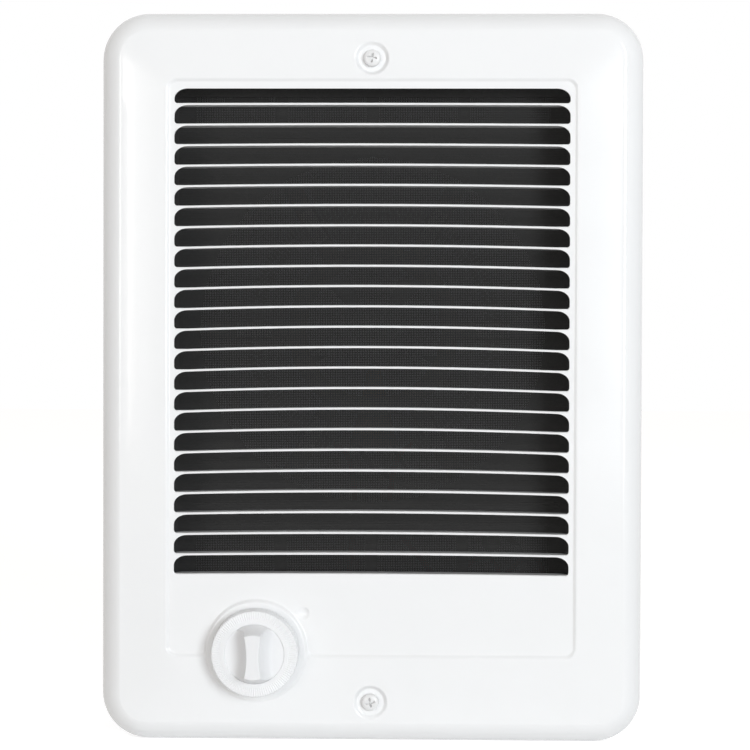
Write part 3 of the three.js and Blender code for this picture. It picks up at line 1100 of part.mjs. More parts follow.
const heater = new THREE.Group();
heater.name = 'bathroom_wall_fan_heater';
heater.add(grille(), ...grilleScrews(), wallCan(), inletBushing(), groundScrew());
heater.add(deck(), ...deckScrews(), screen());
heater.add(placed([knob(), thermostatShaft(), bushingNut()], KNOB_X, 0, KNOB_Z));
heater.add(placed([thermostatBody()], KNOB_X, 0, KNOB_Z), sensingBulb(), bulbClip());
heater.add(placed([shroud(), elementCoil(), elementFrame(), ...insulators()], 0, 0, FAN_Z));
heater.add(placed([fan(), fanClip(), motorShaft(), motorRotor(), motorStator(), motorWinding(), motorStrap(),
  motorBracket('motor_bracket_front', BRACKET_FRONT_FACE, STACK_FRONT),
  motorBracket('motor_bracket_rear', BRACKET_REAR_FACE, STACK_REAR),
  bearing('bearing_front', BRACKET_FRONT_FACE), bearing('bearing_rear', BRACKET_REAR_FACE - BEARING_LENGTH),
  ...motorScrews()], 0, 0, FAN_Z));
heater.add(placed([limitSwitch(), resetButton(), resetSpring()], LIMIT_X, 0, LIMIT_Z));
heater.add(...WIRE_NUT_XS.map((x, i) => wireNut(`wire_nut_${i + 1}`, x)), ...leads());

export default heater;
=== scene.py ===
"""The looks of a recessed bathroom wall fan heater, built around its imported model.

Sizes are in millimetres in the part's own frame (+Z up, the room on the -Y side) and become
metres where a mesh is made.
"""

import json
import math

import bmesh
import bpy
import numpy as np
from mathutils import Matrix, Vector
from mathutils.geometry import delaunay_2d_cdt


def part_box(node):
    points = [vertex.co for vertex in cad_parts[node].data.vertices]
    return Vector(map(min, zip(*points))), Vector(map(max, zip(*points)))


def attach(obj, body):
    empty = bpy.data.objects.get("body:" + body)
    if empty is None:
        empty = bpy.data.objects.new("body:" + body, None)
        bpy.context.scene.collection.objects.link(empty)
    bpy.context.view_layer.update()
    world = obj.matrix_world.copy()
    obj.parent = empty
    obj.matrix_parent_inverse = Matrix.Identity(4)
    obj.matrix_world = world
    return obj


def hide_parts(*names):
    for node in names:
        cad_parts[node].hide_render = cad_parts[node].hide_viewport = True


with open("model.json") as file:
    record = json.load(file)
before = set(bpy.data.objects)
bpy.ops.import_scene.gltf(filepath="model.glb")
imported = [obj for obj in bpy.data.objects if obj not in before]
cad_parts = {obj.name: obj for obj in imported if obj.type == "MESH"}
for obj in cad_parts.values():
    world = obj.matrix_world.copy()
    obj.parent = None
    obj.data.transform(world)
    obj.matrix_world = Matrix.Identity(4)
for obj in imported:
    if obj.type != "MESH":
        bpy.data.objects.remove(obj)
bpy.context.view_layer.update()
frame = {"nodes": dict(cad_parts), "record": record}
bpy.context.scene.view_settings.view_transform = "Standard"

MM = 0.001
JOINED_SHARP_ANGLE, CAD_SHARP_ANGLE = math.radians(28), math.radians(32)


def node_box(node):
    """Lowest and highest corner of a CAD node in millimetres."""
    low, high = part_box(node)
    return np.array(low) / MM, np.array(high) / MM


# ---- sizes taken from the frame ----
GRILLE_LOW, GRILLE_HIGH = node_box("grille")
KNOB_LOW, KNOB_HIGH = node_box("control_knob")
CAN_LOW, CAN_HIGH = node_box("wall_can")
SCREEN_LOW, SCREEN_HIGH = node_box("louver_screen")
HALF_WIDTH, HALF_HEIGHT = GRILLE_HIGH[0], GRILLE_HIGH[2]
KNOB_X, _, KNOB_Z = (KNOB_LOW + KNOB_HIGH) / 2
SCREW_PLACES = [tuple(sum(node_box(f"grille_screw_{end}")) / 2)[::2] for end in ("top", "bottom")]

# ---- grille: the sheet and its face ----
SHEET = 0.9
CORNER_RADIUS = 19.5
BULLNOSE_WIDTH = 8.8
BULLNOSE_RISE = 8.8
BULLNOSE_FRONT = -19.3
BULLNOSE_FULLNESS = 1.5
BULLNOSE_STEPS, CORNER_STEPS, SIDE_STEP = 20, 14, 6.0
SKIRT_LEVELS = (0.0, -5.0)
CROWN = -20.8
CROWN_FALL = 1.12
CREST_INSET = 29.0
CREST_CORNER_RADIUS = 4.0
RECESS_SIDE_MARGIN = 28.6
RECESS_TOP_MARGIN = 29.0
RECESS_BOTTOM_MARGIN = 36.6
RECESS_CORNER_RADIUS = 3.8
RECESS_FLOOR = -19.8
RECESS_EDGE = 1.7

# ---- grille: louvers ----
SLOT_COUNT = 24
SLOT_PITCH = 8.51
SLOT_SIDE_MARGIN = 2.5
SLOT_TOP_MARGIN = 3.5
FIRST_SLOT_HEIGHT = 6.0
SLOT_TOP_CORNER = (5.5, 4.2)
SLOT_BOTTOM_CORNER = 1.2
ARCH_RISE = 1.5
ARCH_SKEW = 1.15
ARCH_TAIL_ROWS = 2
BLADE_END_GAP = 0.4
FOLD_RADIUS = 0.7
CUT_EDGE_RADIUS = 0.12

# ---- control, screws, mark ----
BOSS_RADIUS = 20.9
BOSS_FRONT = -21.2
BOSS_EDGE = 1.2
BOSS_FILLET = 3.0
SHAFT_HOLE_RADIUS = 5.05
SCREW_SEAT = -18.4
SCREW_SEAT_RADIUS = 5.3
SCREW_SEAT_RIM = 7.3
SCREW_HOLE_RADIUS = 2.2
MARK_DISTANCE, MARK_ANGLE = 25.0, math.radians(38.3)
MARK_PLACE = (KNOB_X + MARK_DISTANCE * math.cos(MARK_ANGLE),
              KNOB_Z + MARK_DISTANCE * math.sin(MARK_ANGLE))
MARK_RADIUS = 2.75
MARK_DEPTH, MARK_FALL = 1.2, 1.1

# ---- spacing of the points over the face ----
COARSEST = 16.0
FLAT_STEP, RECESS_STEP, CORNER_STEP, EDGE_STEP, MARK_STEP = 4.0, 12.0, 2.0, 0.6, 0.5
CORNER_REACH = 36
BORDER_GAP, HOLE_GAP = 0.5, 0.25

WHITE = (0.88, 0.885, 0.89)


# ---- meshes ----

class Patchwork:
    """Points and faces in millimetres with a normal for each corner of each face.

    Points that coincide are welded, and each face is turned to agree with its normals."""

    def __init__(self):
        self.points, self.lookup, self.faces, self.normals = [], {}, [], []

    def point(self, p):
        key = (round(p[0], 4), round(p[1], 4), round(p[2], 4))
        if key not in self.lookup:
            self.lookup[key] = len(self.points)
            self.points.append(key)
        return self.lookup[key]

    def patch(self, points, normals, faces):
        """Faces of equal corner counts over one list of points."""
        places, normals, faces = np.array(points, float), np.array(normals, float), np.array(faces)
        ids = [self.point(p) for p in places.tolist()]
        rings = places[faces]
        facing = np.cross(rings, np.roll(rings, -1, axis=1)).sum(axis=1)
        away = (facing * normals[faces].sum(axis=1)).sum(axis=1) < 0
        faces[away] = faces[away][:, ::-1]
        for face in faces.tolist():
            corners, seen = [], set()
            for i in face:
                if ids[i] not in seen:
                    seen.add(ids[i])
                    corners.append(i)
            if len(corners) > 2:
                self.faces.append([ids[i] for i in corners])
                self.normals.extend(normals[i] for i in corners)

    def grid(self, points, normals, closed=False):
        """A patch from rows of points; closed joins the last column to the first."""
        rows, columns = len(points), len(points[0])
        wrap = columns if closed else columns - 1
        faces = [(r * columns + c, r * columns + (c + 1) % columns,
                  (r + 1) * columns + (c + 1) % columns, (r + 1) * columns + c)
                 for r in range(rows - 1) for c in range(wrap)]
        self.patch([p for row in points for p in row], [n for row in normals for n in row], faces)

    def mesh(self, name):
        mesh = bpy.data.meshes.new(name)
        mesh.from_pydata([tuple(v * MM for v in p) for p in self.points], [], self.faces)
        shade_smooth(mesh)
        lengths = [np.linalg.norm(n) or 1.0 for n in self.normals]
        mesh.normals_split_custom_set([tuple(n / l) for n, l in zip(self.normals, lengths)])
        return mesh


def new_object(name, data):
    piece = bpy.data.objects.new(name, data)
    bpy.context.scene.collection.objects.link(piece)
    return piece


def from_bmesh(name, build):
    """A mesh with a bmesh's faces; the bmesh is used up."""
    mesh = bpy.data.meshes.new(name)
    build.to_mesh(mesh)
    build.free()
    return mesh


def made(name, build):
    """An object with a bmesh's faces, all turned outward."""
    bmesh.ops.recalc_face_normals(build, faces=build.faces)
    return new_object(name, from_bmesh(name, build))


def shade_smooth(mesh):
    mesh.polygons.foreach_set("use_smooth", [True] * len(mesh.polygons))


def applied(piece):
    """Bakes a piece's modifiers into its mesh."""
    bpy.context.view_layer.update()
    graph = bpy.context.evaluated_depsgraph_get()
    mesh = bpy.data.meshes.new_from_object(piece.evaluated_get(graph))
    piece.modifiers.clear()
    piece.data = mesh
    return piece


def drilled(piece, build):
    """Cuts the closed shapes of a bmesh out of a piece."""
    tool = made("cutter", build)
    cutter = piece.modifiers.new("holes", "BOOLEAN")
    cutter.operation, cutter.solver, cutter.object = "DIFFERENCE", "EXACT", tool
    applied(piece)
    bpy.data.objects.remove(tool)
    return piece


def joined(name, pieces):
    """One object with the meshes of several, each of them closed."""
    build = bmesh.new()
    for piece in pieces:
        build.from_mesh(piece.data)
        bpy.data.objects.remove(piece)
    mesh = from_bmesh(name, build)
    shade_smooth(mesh)
    mesh.set_sharp_from_angle(angle=JOINED_SHARP_ANGLE)
    return new_object(name, mesh)


def loft(build, near, far):
    """Adds the closed solid between two outlines of equal counts, in millimetres."""
    rings = [[build.verts.new([v * MM for v in place]) for place in ring] for ring in (near, far)]
    for i in range(len(near)):
        j = (i + 1) % len(near)
        build.faces.new((rings[0][i], rings[0][j], rings[1][j], rings[1][i]))
    build.faces.new(rings[0])
    build.faces.new(rings[1])


def prism(build, outline, axis, low, high):
    """Adds a closed outline drawn out along an axis (0, 1 or 2), in millimetres."""
    loft(build, *([[*pair[:axis], level, *pair[axis:]] for pair in outline] for level in sorted((low, high))))


def arc(centre, radius, start, end, steps=8):
    """Points on an arc, angles in degrees."""
    angles = [math.radians(start + (end - start) * i / steps) for i in range(steps + 1)]
    return [(centre[0] + radius * math.cos(a), centre[1] + radius * math.sin(a)) for a in angles]


def disc(build, centre, radius, axis, low, high):
    prism(build, arc(centre, radius, 0, 360, 40)[:-1], axis, low, high)


def quarter(steps):
    """Angles from 0 to a right angle."""
    return [math.pi / 2 * i / steps for i in range(steps + 1)]


def facing(*direction):
    """The same outward direction everywhere."""
    return lambda p: direction


def outwards(centre, lean=0.0):
    """Away from a line along Y."""
    return lambda p: (p[0] - centre[0], lean, p[2] - centre[1])


def inwards(centre):
    """Towards a line along Y."""
    return lambda p: (centre[0] - p[0], 0, centre[1] - p[2])


def grid_normals(points, closed, outward):
    """Normals of a grid of points, turned to the side that outward(point) points to."""
    p = np.array(points, float)
    if closed:
        across = np.roll(p, -1, axis=1) - np.roll(p, 1, axis=1)
    else:
        across = np.gradient(p, axis=1)
    down = np.gradient(p, axis=0)
    normals = np.cross(across, down)
    lengths = np.linalg.norm(normals, axis=2)
    lengths[lengths == 0] = 1
    normals = normals / lengths[..., None]
    middle = tuple(s // 2 for s in normals.shape[:2])
    if normals[middle] @ np.array(outward(p[middle])) < 0:
        normals = -normals
    return normals


def turned(build, profile, centre, columns, outward):
    """Adds a profile of (radius, depth) points turned about a line along Y."""
    angles = np.arange(columns) * 2 * math.pi / columns
    rows = [[(centre[0] + r * math.cos(a), y, centre[1] + r * math.sin(a)) for a in angles]
            for r, y in profile]
    build.grid(rows, grid_normals(rows, True, outward), closed=True)


def dress(piece, body, slot, *nodes):
    """Gives a piece its body, its material slot and the CAD nodes that it stands for."""
    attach(piece, body)
    if nodes:
        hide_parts(*nodes)
    piece.data.materials.clear()
    piece.data.materials.append(MATERIALS[slot])
    return piece


# ---- materials ----

def node_tree(name):
    material = bpy.data.materials.new(name)
    material.use_nodes = True
    tree = material.node_tree
    return material, tree, tree.nodes["Principled BSDF"]


def add(tree, kind, inputs=(), **settings):
    node = tree.nodes.new(kind)
    for key, value in settings.items():
        setattr(node, key, value)
    for key, value in dict(inputs).items():
        if isinstance(value, bpy.types.NodeSocket):
            tree.links.new(value, node.inputs[key])
        else:
            node.inputs[key].default_value = value
    return node


def noise(tree, scale, detail=2.0, roughness=0.5, stretch=None):
    """Noise over the object's own coordinates; scale is in waves per metre."""
    place = add(tree, "ShaderNodeTexCoord").outputs["Object"]
    if stretch:
        place = add(tree, "ShaderNodeMapping", {"Vector": place, "Scale": stretch}).outputs["Vector"]
    return add(tree, "ShaderNodeTexNoise", {"Vector": place, "Scale": scale, "Detail": detail,
                                            "Roughness": roughness}).outputs["Fac"]


def between(tree, factor, low, high):
    """A ramp from low to high over the middle of a noise."""
    return add(tree, "ShaderNodeMapRange", {"Value": factor, "From Min": 0.3, "From Max": 0.7,
                                            "To Min": low, "To Max": high}).outputs["Result"]


def tinted(tree, factor, dark, light):
    ramp = add(tree, "ShaderNodeValToRGB", {"Fac": factor})
    ramp.color_ramp.elements[0].position = 0.3
    ramp.color_ramp.elements[0].color = (*dark, 1.0)
    ramp.color_ramp.elements[1].position = 0.7
    ramp.color_ramp.elements[1].color = (*light, 1.0)
    return ramp.outputs["Color"]


def bumped(tree, height, distance, strength=1.0, normal=None):
    inputs = {"Height": height, "Distance": distance, "Strength": strength}
    if normal is not None:
        inputs["Normal"] = normal
    return add(tree, "ShaderNodeBump", inputs).outputs["Normal"]


def shaded(color, spread, rough, rough_spread, metallic=0.0, tone_scale=60.0, grain_scale=1500.0,
           grain_depth=0.00001, stretch=None, coat=0.0, coat_rough=0.05, ior=1.5):
    """A finish whose tone and roughness drift a little and whose surface has a fine grain."""
    def make(name):
        material, tree, shader = node_tree(name)
        tone = noise(tree, tone_scale, 3.0, stretch=stretch)
        dark = tuple(c * (1 - spread) for c in color)
        light = tuple(min(c * (1 + spread), 1.0) for c in color)
        shader.inputs["Metallic"].default_value = metallic
        shader.inputs["IOR"].default_value = ior
        shader.inputs["Coat Weight"].default_value = coat
        shader.inputs["Coat Roughness"].default_value = coat_rough
        tree.links.new(tinted(tree, tone, dark, light), shader.inputs["Base Color"])
        tree.links.new(between(tree, tone, rough - rough_spread, rough + rough_spread),
                       shader.inputs["Roughness"])
        grain = noise(tree, grain_scale, 2.0, stretch=stretch)
        tree.links.new(bumped(tree, grain, grain_depth), shader.inputs["Normal"])
        return material
    return make


def galvanised(name):
    """Zinc-coated sheet: crystals of slightly different grey, each with its own gloss."""
    material, tree, shader = node_tree(name)
    place = add(tree, "ShaderNodeTexCoord").outputs["Object"]
    warp = add(tree, "ShaderNodeTexNoise", {"Vector": place, "Scale": 90.0}).outputs["Color"]
    bent = add(tree, "ShaderNodeMixRGB", {"Fac": 0.005, "Color1": place, "Color2": warp}).outputs["Color"]
    crystal = add(tree, "ShaderNodeTexVoronoi", {"Vector": bent, "Scale": 300.0}).outputs["Color"]
    shade = add(tree, "ShaderNodeSeparateColor", {"Color": crystal}).outputs
    shader.inputs["Metallic"].default_value = 1.0
    tint = tinted(tree, shade["Red"], (0.545, 0.56, 0.57), (0.60, 0.615, 0.625))
    tree.links.new(tint, shader.inputs["Base Color"])
    tree.links.new(between(tree, shade["Green"], 0.36, 0.44), shader.inputs["Roughness"])
    tree.links.new(bumped(tree, noise(tree, 700.0), 0.00002), shader.inputs["Normal"])
    return material


FINISHES = {
    "enamel": shaded(WHITE, 0.006, 0.16, 0.02, tone_scale=25.0, grain_scale=260.0, grain_depth=0.0000035,
                     coat=0.25, coat_rough=0.04),
    "white_screw": shaded((0.80, 0.80, 0.80), 0.02, 0.3, 0.05, grain_scale=900.0),
    "knob_plastic": shaded((0.84, 0.845, 0.855), 0.006, 0.38, 0.04, tone_scale=90.0, grain_scale=2600.0,
                           grain_depth=0.000006),
    "matte_black_paint": shaded((0.027, 0.0265, 0.026), 0.2, 0.72, 0.06, tone_scale=900.0, grain_scale=2400.0,
                                grain_depth=0.00005, ior=1.38),
    "galvanised_steel": galvanised,
    "zinc_steel": shaded((0.62, 0.62, 0.60), 0.06, 0.3, 0.06, 1.0, grain_scale=1800.0),
    "nichrome": shaded((0.26, 0.24, 0.22), 0.2, 0.42, 0.08, 0.9, tone_scale=300.0),
    "ceramic": shaded((0.80, 0.76, 0.68), 0.04, 0.65, 0.05, tone_scale=200.0, grain_scale=1400.0),
    "mica": shaded((0.38, 0.33, 0.24), 0.18, 0.55, 0.08, tone_scale=180.0, stretch=(1.0, 1.0, 0.3)),
    "fan_aluminium": shaded((0.60, 0.61, 0.63), 0.05, 0.36, 0.06, 1.0, grain_scale=900.0,
                            stretch=(1.0, 1.0, 0.1)),
    "lamination_steel": shaded((0.20, 0.21, 0.23), 0.15, 0.45, 0.08, 0.8, grain_scale=1500.0,
                               grain_depth=0.00008, stretch=(0.02, 1.0, 0.02)),
    "winding_tape": shaded((0.40, 0.22, 0.11), 0.15, 0.55, 0.06, tone_scale=260.0, grain_scale=900.0,
                           grain_depth=0.00006, stretch=(1.0, 0.2, 1.0)),
    "sintered_bronze": shaded((0.50, 0.38, 0.20), 0.12, 0.5, 0.08, 1.0, grain_scale=2500.0,
                              grain_depth=0.00003),
    "black_plastic": shaded((0.028, 0.028, 0.03), 0.1, 0.45, 0.05, grain_scale=1600.0),
    "red_plastic": shaded((0.42, 0.018, 0.014), 0.06, 0.32, 0.05, grain_scale=1600.0),
    "orange_plastic": shaded((0.56, 0.15, 0.018), 0.06, 0.42, 0.05, grain_scale=1600.0),
    "green_screw": shaded((0.035, 0.22, 0.06), 0.12, 0.36, 0.06, 0.5, grain_scale=1600.0),
    "copper_tube": shaded((0.58, 0.32, 0.19), 0.08, 0.3, 0.06, 1.0, tone_scale=200.0),
    "red_wire": shaded((0.38, 0.018, 0.016), 0.08, 0.5, 0.05, grain_scale=1200.0),
    "black_wire": shaded((0.014, 0.014, 0.016), 0.1, 0.5, 0.05, grain_scale=1200.0),
}
MATERIALS = {slot: make(slot) for slot, make in FINISHES.items()}


def finish_cad_nodes():
    """The CAD pieces that stay get the finish of their slot."""
    for part in frame["record"]["subparts"]:
        node = frame["nodes"][part["node"]]
        node.data.materials.clear()
        node.data.materials.append(MATERIALS[part["material_slot"]])
        node.data.set_sharp_from_angle(angle=CAD_SHARP_ANGLE)


# ---- grille ----

def smooth(t):
    t = np.clip(t, 0.0, 1.0)
    return t * t * (3 - 2 * t)


def smooth_max(a, b, width):
    h = np.clip(width - np.abs(a - b), 0, None) / width
    return np.maximum(a, b) + h * h * width / 4


RECESS_HALF_WIDTH = HALF_WIDTH - RECESS_SIDE_MARGIN
RECESS_TOP = HALF_HEIGHT - RECESS_TOP_MARGIN
RECESS_BOTTOM = RECESS_BOTTOM_MARGIN - HALF_HEIGHT
SLOT_HALF_WIDTH = RECESS_HALF_WIDTH - SLOT_SIDE_MARGIN
ARCH_HALF_SPAN = SLOT_HALF_WIDTH - SLOT_TOP_CORNER[0]


def face_inset(x, z):
    """Distance from the inner edge of the bullnose, with corners that tighten towards the recess."""
    a, b = HALF_WIDTH - np.abs(x), HALF_HEIGHT - np.abs(z)
    outer = CORNER_RADIUS - BULLNOSE_WIDTH
    tighten = (outer - CREST_CORNER_RADIUS) / (CREST_INSET - BULLNOSE_WIDTH)
    grow = 1 - tighten
    near_a, near_b = CORNER_RADIUS - a, CORNER_RADIUS - b
    p = 2 * grow ** 2 - tighten ** 2
    q = 2 * grow * (near_a + near_b) + 2 * tighten * outer
    r = near_a ** 2 + near_b ** 2 - outer ** 2
    u = (-q + np.sqrt(np.maximum(q * q - 4 * p * r, 0))) / (2 * p)
    in_corner = (near_a + grow * u > 0) & (near_b + grow * u > 0)
    return np.where(in_corner, u, np.minimum(a, b) - BULLNOSE_WIDTH)


def recess_distance(x, z):
    """Signed distance to the recess's edge, negative inside, with the boss left standing in it."""
    middle = (RECESS_TOP + RECESS_BOTTOM) / 2
    qx = np.abs(x) - (RECESS_HALF_WIDTH - RECESS_CORNER_RADIUS)
    qz = np.abs(z - middle) - ((RECESS_TOP - RECESS_BOTTOM) / 2 - RECESS_CORNER_RADIUS)
    recess = np.hypot(np.maximum(qx, 0), np.maximum(qz, 0)) + np.minimum(np.maximum(qx, qz), 0)
    return smooth_max(recess - RECESS_CORNER_RADIUS, -boss_distance(x, z), BOSS_FILLET)


def boss_distance(x, z):
    return np.hypot(x - KNOB_X, z - KNOB_Z) - BOSS_RADIUS


def face_height(x, z):
    """Depth y of the grille's front surface inside the bullnose."""
    x, z = np.asarray(x, float), np.asarray(z, float)
    rise = np.clip(face_inset(x, z) / (CREST_INSET - BULLNOSE_WIDTH), 0, 1)
    y = BULLNOSE_FRONT + (CROWN - BULLNOSE_FRONT) * (1 - (1 - rise) ** CROWN_FALL)
    out = smooth(recess_distance(x, z) / RECESS_EDGE + 0.5)
    y = RECESS_FLOOR + (y - RECESS_FLOOR) * out
    y = y + (BOSS_FRONT - CROWN) * smooth(0.5 - boss_distance(x, z) / BOSS_EDGE)
    for sx, sz in SCREW_PLACES:
        r = np.hypot(x - sx, z - sz)
        rim = smooth((r - SCREW_SEAT_RADIUS) / (SCREW_SEAT_RIM - SCREW_SEAT_RADIUS))
        y = SCREW_SEAT + (y - SCREW_SEAT) * rim
    r = np.hypot(x - MARK_PLACE[0], z - MARK_PLACE[1]) / MARK_RADIUS
    return y + MARK_DEPTH * np.clip(1 - r * r, 0, None) ** MARK_FALL


def face_normals(x, z):
    """Forward normals of the face, from its slope."""
    step = 0.02
    dx = (face_height(x + step, z) - face_height(x - step, z)) / (2 * step)
    dz = (face_height(x, z + step) - face_height(x, z - step)) / (2 * step)
    normals = np.stack([dx, -np.ones_like(dx), dz], axis=1)
    return normals / np.linalg.norm(normals, axis=1)[:, None]


def rounded_outline(half_x, half_z, radius, arc_steps, side_step):
    """Points and outward directions round a rectangle with rounded corners."""
    places, directions = [], []
    for side in range(4):
        turn = side * math.pi / 2
        sx, sz = (1, -1, -1, 1)[side], (1, 1, -1, -1)[side]
        centre = np.array([sx * (half_x - radius), sz * (half_z - radius)])
        for a in quarter(arc_steps):
            out = np.array([math.cos(turn + a), math.sin(turn + a)])
            places.append(centre + radius * out)
            directions.append(out)
        length = 2 * ((half_x if side % 2 == 0 else half_z) - radius)
        count = max(int(length / side_step), 1)
        along = np.array([-math.sin(turn + math.pi / 2), math.cos(turn + math.pi / 2)])
        start = places[-1]
        for i in range(1, count):
            places.append(start + along * length * i / count)
            directions.append(directions[-1])
    return np.array(places), np.array(directions)


def slot_bottom(slot):
    return RECESS_TOP - SLOT_TOP_MARGIN - FIRST_SLOT_HEIGHT - slot * SLOT_PITCH


def slot_height(slot):
    return FIRST_SLOT_HEIGHT if slot == 0 else SLOT_PITCH - SHEET


def bow(slot, x):
    """Lift at x of the arched edge under a slot; the edge over the first slot is straight."""
    if slot < 0:
        return 0.0 * x
    share = ((slot + 1) / (SLOT_COUNT + ARCH_TAIL_ROWS)) ** ARCH_SKEW
    return ARCH_RISE * math.sin(math.pi * share) * (1 - (x / ARCH_HALF_SPAN) ** 2)


def slot_contour(slot):
    """The slot's opening: points, directions away from the opening, and edge radii."""
    bottom, top = slot_bottom(slot), slot_bottom(slot) + slot_height(slot)
    wide, high = SLOT_TOP_CORNER
    c = SLOT_BOTTOM_CORNER
    half = SLOT_HALF_WIDTH
    xs = np.concatenate([np.linspace(-half + c, -ARCH_HALF_SPAN, 3)[:-1],
                         np.linspace(-ARCH_HALF_SPAN, ARCH_HALF_SPAN, 41),
                         np.linspace(ARCH_HALF_SPAN, half - c, 3)[1:]])
    inside = np.clip(np.abs(xs), 0, ARCH_HALF_SPAN)
    low = [((x, bottom + bow(slot, i)), (0, -1), FOLD_RADIUS) for x, i in zip(xs, inside)]
    right = []
    for i in range(1, 5):
        a = -math.pi / 2 + math.pi / 2 * i / 4
        radius = FOLD_RADIUS + (CUT_EDGE_RADIUS - FOLD_RADIUS) * i / 4
        right.append(((half - c + c * math.cos(a), bottom + c + c * math.sin(a)),
                      (math.cos(a), math.sin(a)), radius))
    for i in range(0, 10):
        a = math.pi / 2 * i / 10
        out = np.array([math.cos(a) / wide, math.sin(a) / high])
        out = out / np.linalg.norm(out)
        right.append(((half - wide + wide * math.cos(a), top - high + high * math.sin(a)),
                      tuple(out), CUT_EDGE_RADIUS))
    xs = np.linspace(ARCH_HALF_SPAN, -ARCH_HALF_SPAN, 41)
    upper = [((x, top + bow(slot - 1, x)), (0, 1), CUT_EDGE_RADIUS) for x in xs]
    left = [((-p[0], p[1]), (-n[0], n[1]), r) for p, n, r in reversed(right)]
    samples = low + right + upper + left
    places = np.array([s[0] for s in samples], float)
    out = np.array([s[1] for s in samples], float)
    return places, out, np.array([s[2] for s in samples], float)


def ring_contour(x, z, radius, count=24):
    angles = np.arange(count) * 2 * math.pi / count
    out = np.stack([np.cos(angles), np.sin(angles)], axis=1)
    return np.array([x, z]) + radius * out, out, np.full(count, CUT_EDGE_RADIUS)


def face_samples():
    """Points over the face, close together only where the surface bends."""
    size = COARSEST
    quadrants = np.array([(-1, -1), (-1, 1), (1, -1), (1, 1)])
    xs = np.arange(-HALF_WIDTH, HALF_WIDTH, size) + size / 2
    zs = np.arange(-HALF_HEIGHT, HALF_HEIGHT, size) + size / 2
    cells = np.array([(x, z) for x in xs for z in zs])
    corners = []
    while len(cells):
        x, z = cells[:, 0], cells[:, 1]
        reach = size * 0.75  # just over half of a cell's diagonal
        limit = np.where(recess_distance(x, z) > 0, FLAT_STEP, RECESS_STEP)
        corner = (HALF_WIDTH - np.abs(x) < CORNER_REACH) & (HALF_HEIGHT - np.abs(z) < CORNER_REACH)
        limit = np.where(corner, CORNER_STEP, limit)
        limit = np.where(np.abs(recess_distance(x, z)) < RECESS_EDGE / 2 + reach, EDGE_STEP, limit)
        limit = np.where(np.abs(boss_distance(x, z)) < BOSS_EDGE / 2 + reach, EDGE_STEP, limit)
        for sx, sz in SCREW_PLACES:
            r = np.hypot(x - sx, z - sz)
            limit = np.where((r > SCREW_SEAT_RADIUS - reach) & (r < SCREW_SEAT_RIM + reach), EDGE_STEP, limit)
        r = np.hypot(x - MARK_PLACE[0], z - MARK_PLACE[1])
        limit = np.where(r < MARK_RADIUS + reach, MARK_STEP, limit)
        split = limit < size
        corners += [cells[~split] + quadrant * size / 2 for quadrant in quadrants]
        size /= 2
        cells = np.concatenate([cells[split] + quadrant * size / 2 for quadrant in quadrants])
    return np.unique(np.round(np.concatenate(corners), 4), axis=0)


def inside_polygon(points, polygon):
    """Which points lie inside a closed outline."""
    near = np.where(np.all((points > polygon.min(0)) & (points < polygon.max(0)), axis=1))[0]
    x, z = points[near].T
    odd = np.zeros(len(near), bool)
    for (x0, z0), (x1, z1) in zip(polygon, np.roll(polygon, -1, axis=0)):
        if z0 != z1:
            odd ^= ((z0 > z) != (z1 > z)) & (x < (x1 - x0) * (z - z0) / (z1 - z0) + x0)
    result = np.zeros(len(points), bool)
    result[near] = odd
    return result


def spaced(points, outline, gap):
    """Which points keep at least a gap from every point of an outline's sides."""
    result = np.ones(len(points), bool)
    low, high = outline.min(0) - gap, outline.max(0) + gap
    close = np.where(np.all((points > low) & (points < high), axis=1))[0]
    for a, b in zip(outline, np.roll(outline, -1, axis=0)):
        side = b - a
        rel = points[close] - a
        t = np.clip(rel @ side / (side @ side), 0, 1)
        result[close[np.linalg.norm(rel - t[:, None] * side, axis=1) < gap]] = False
    return result


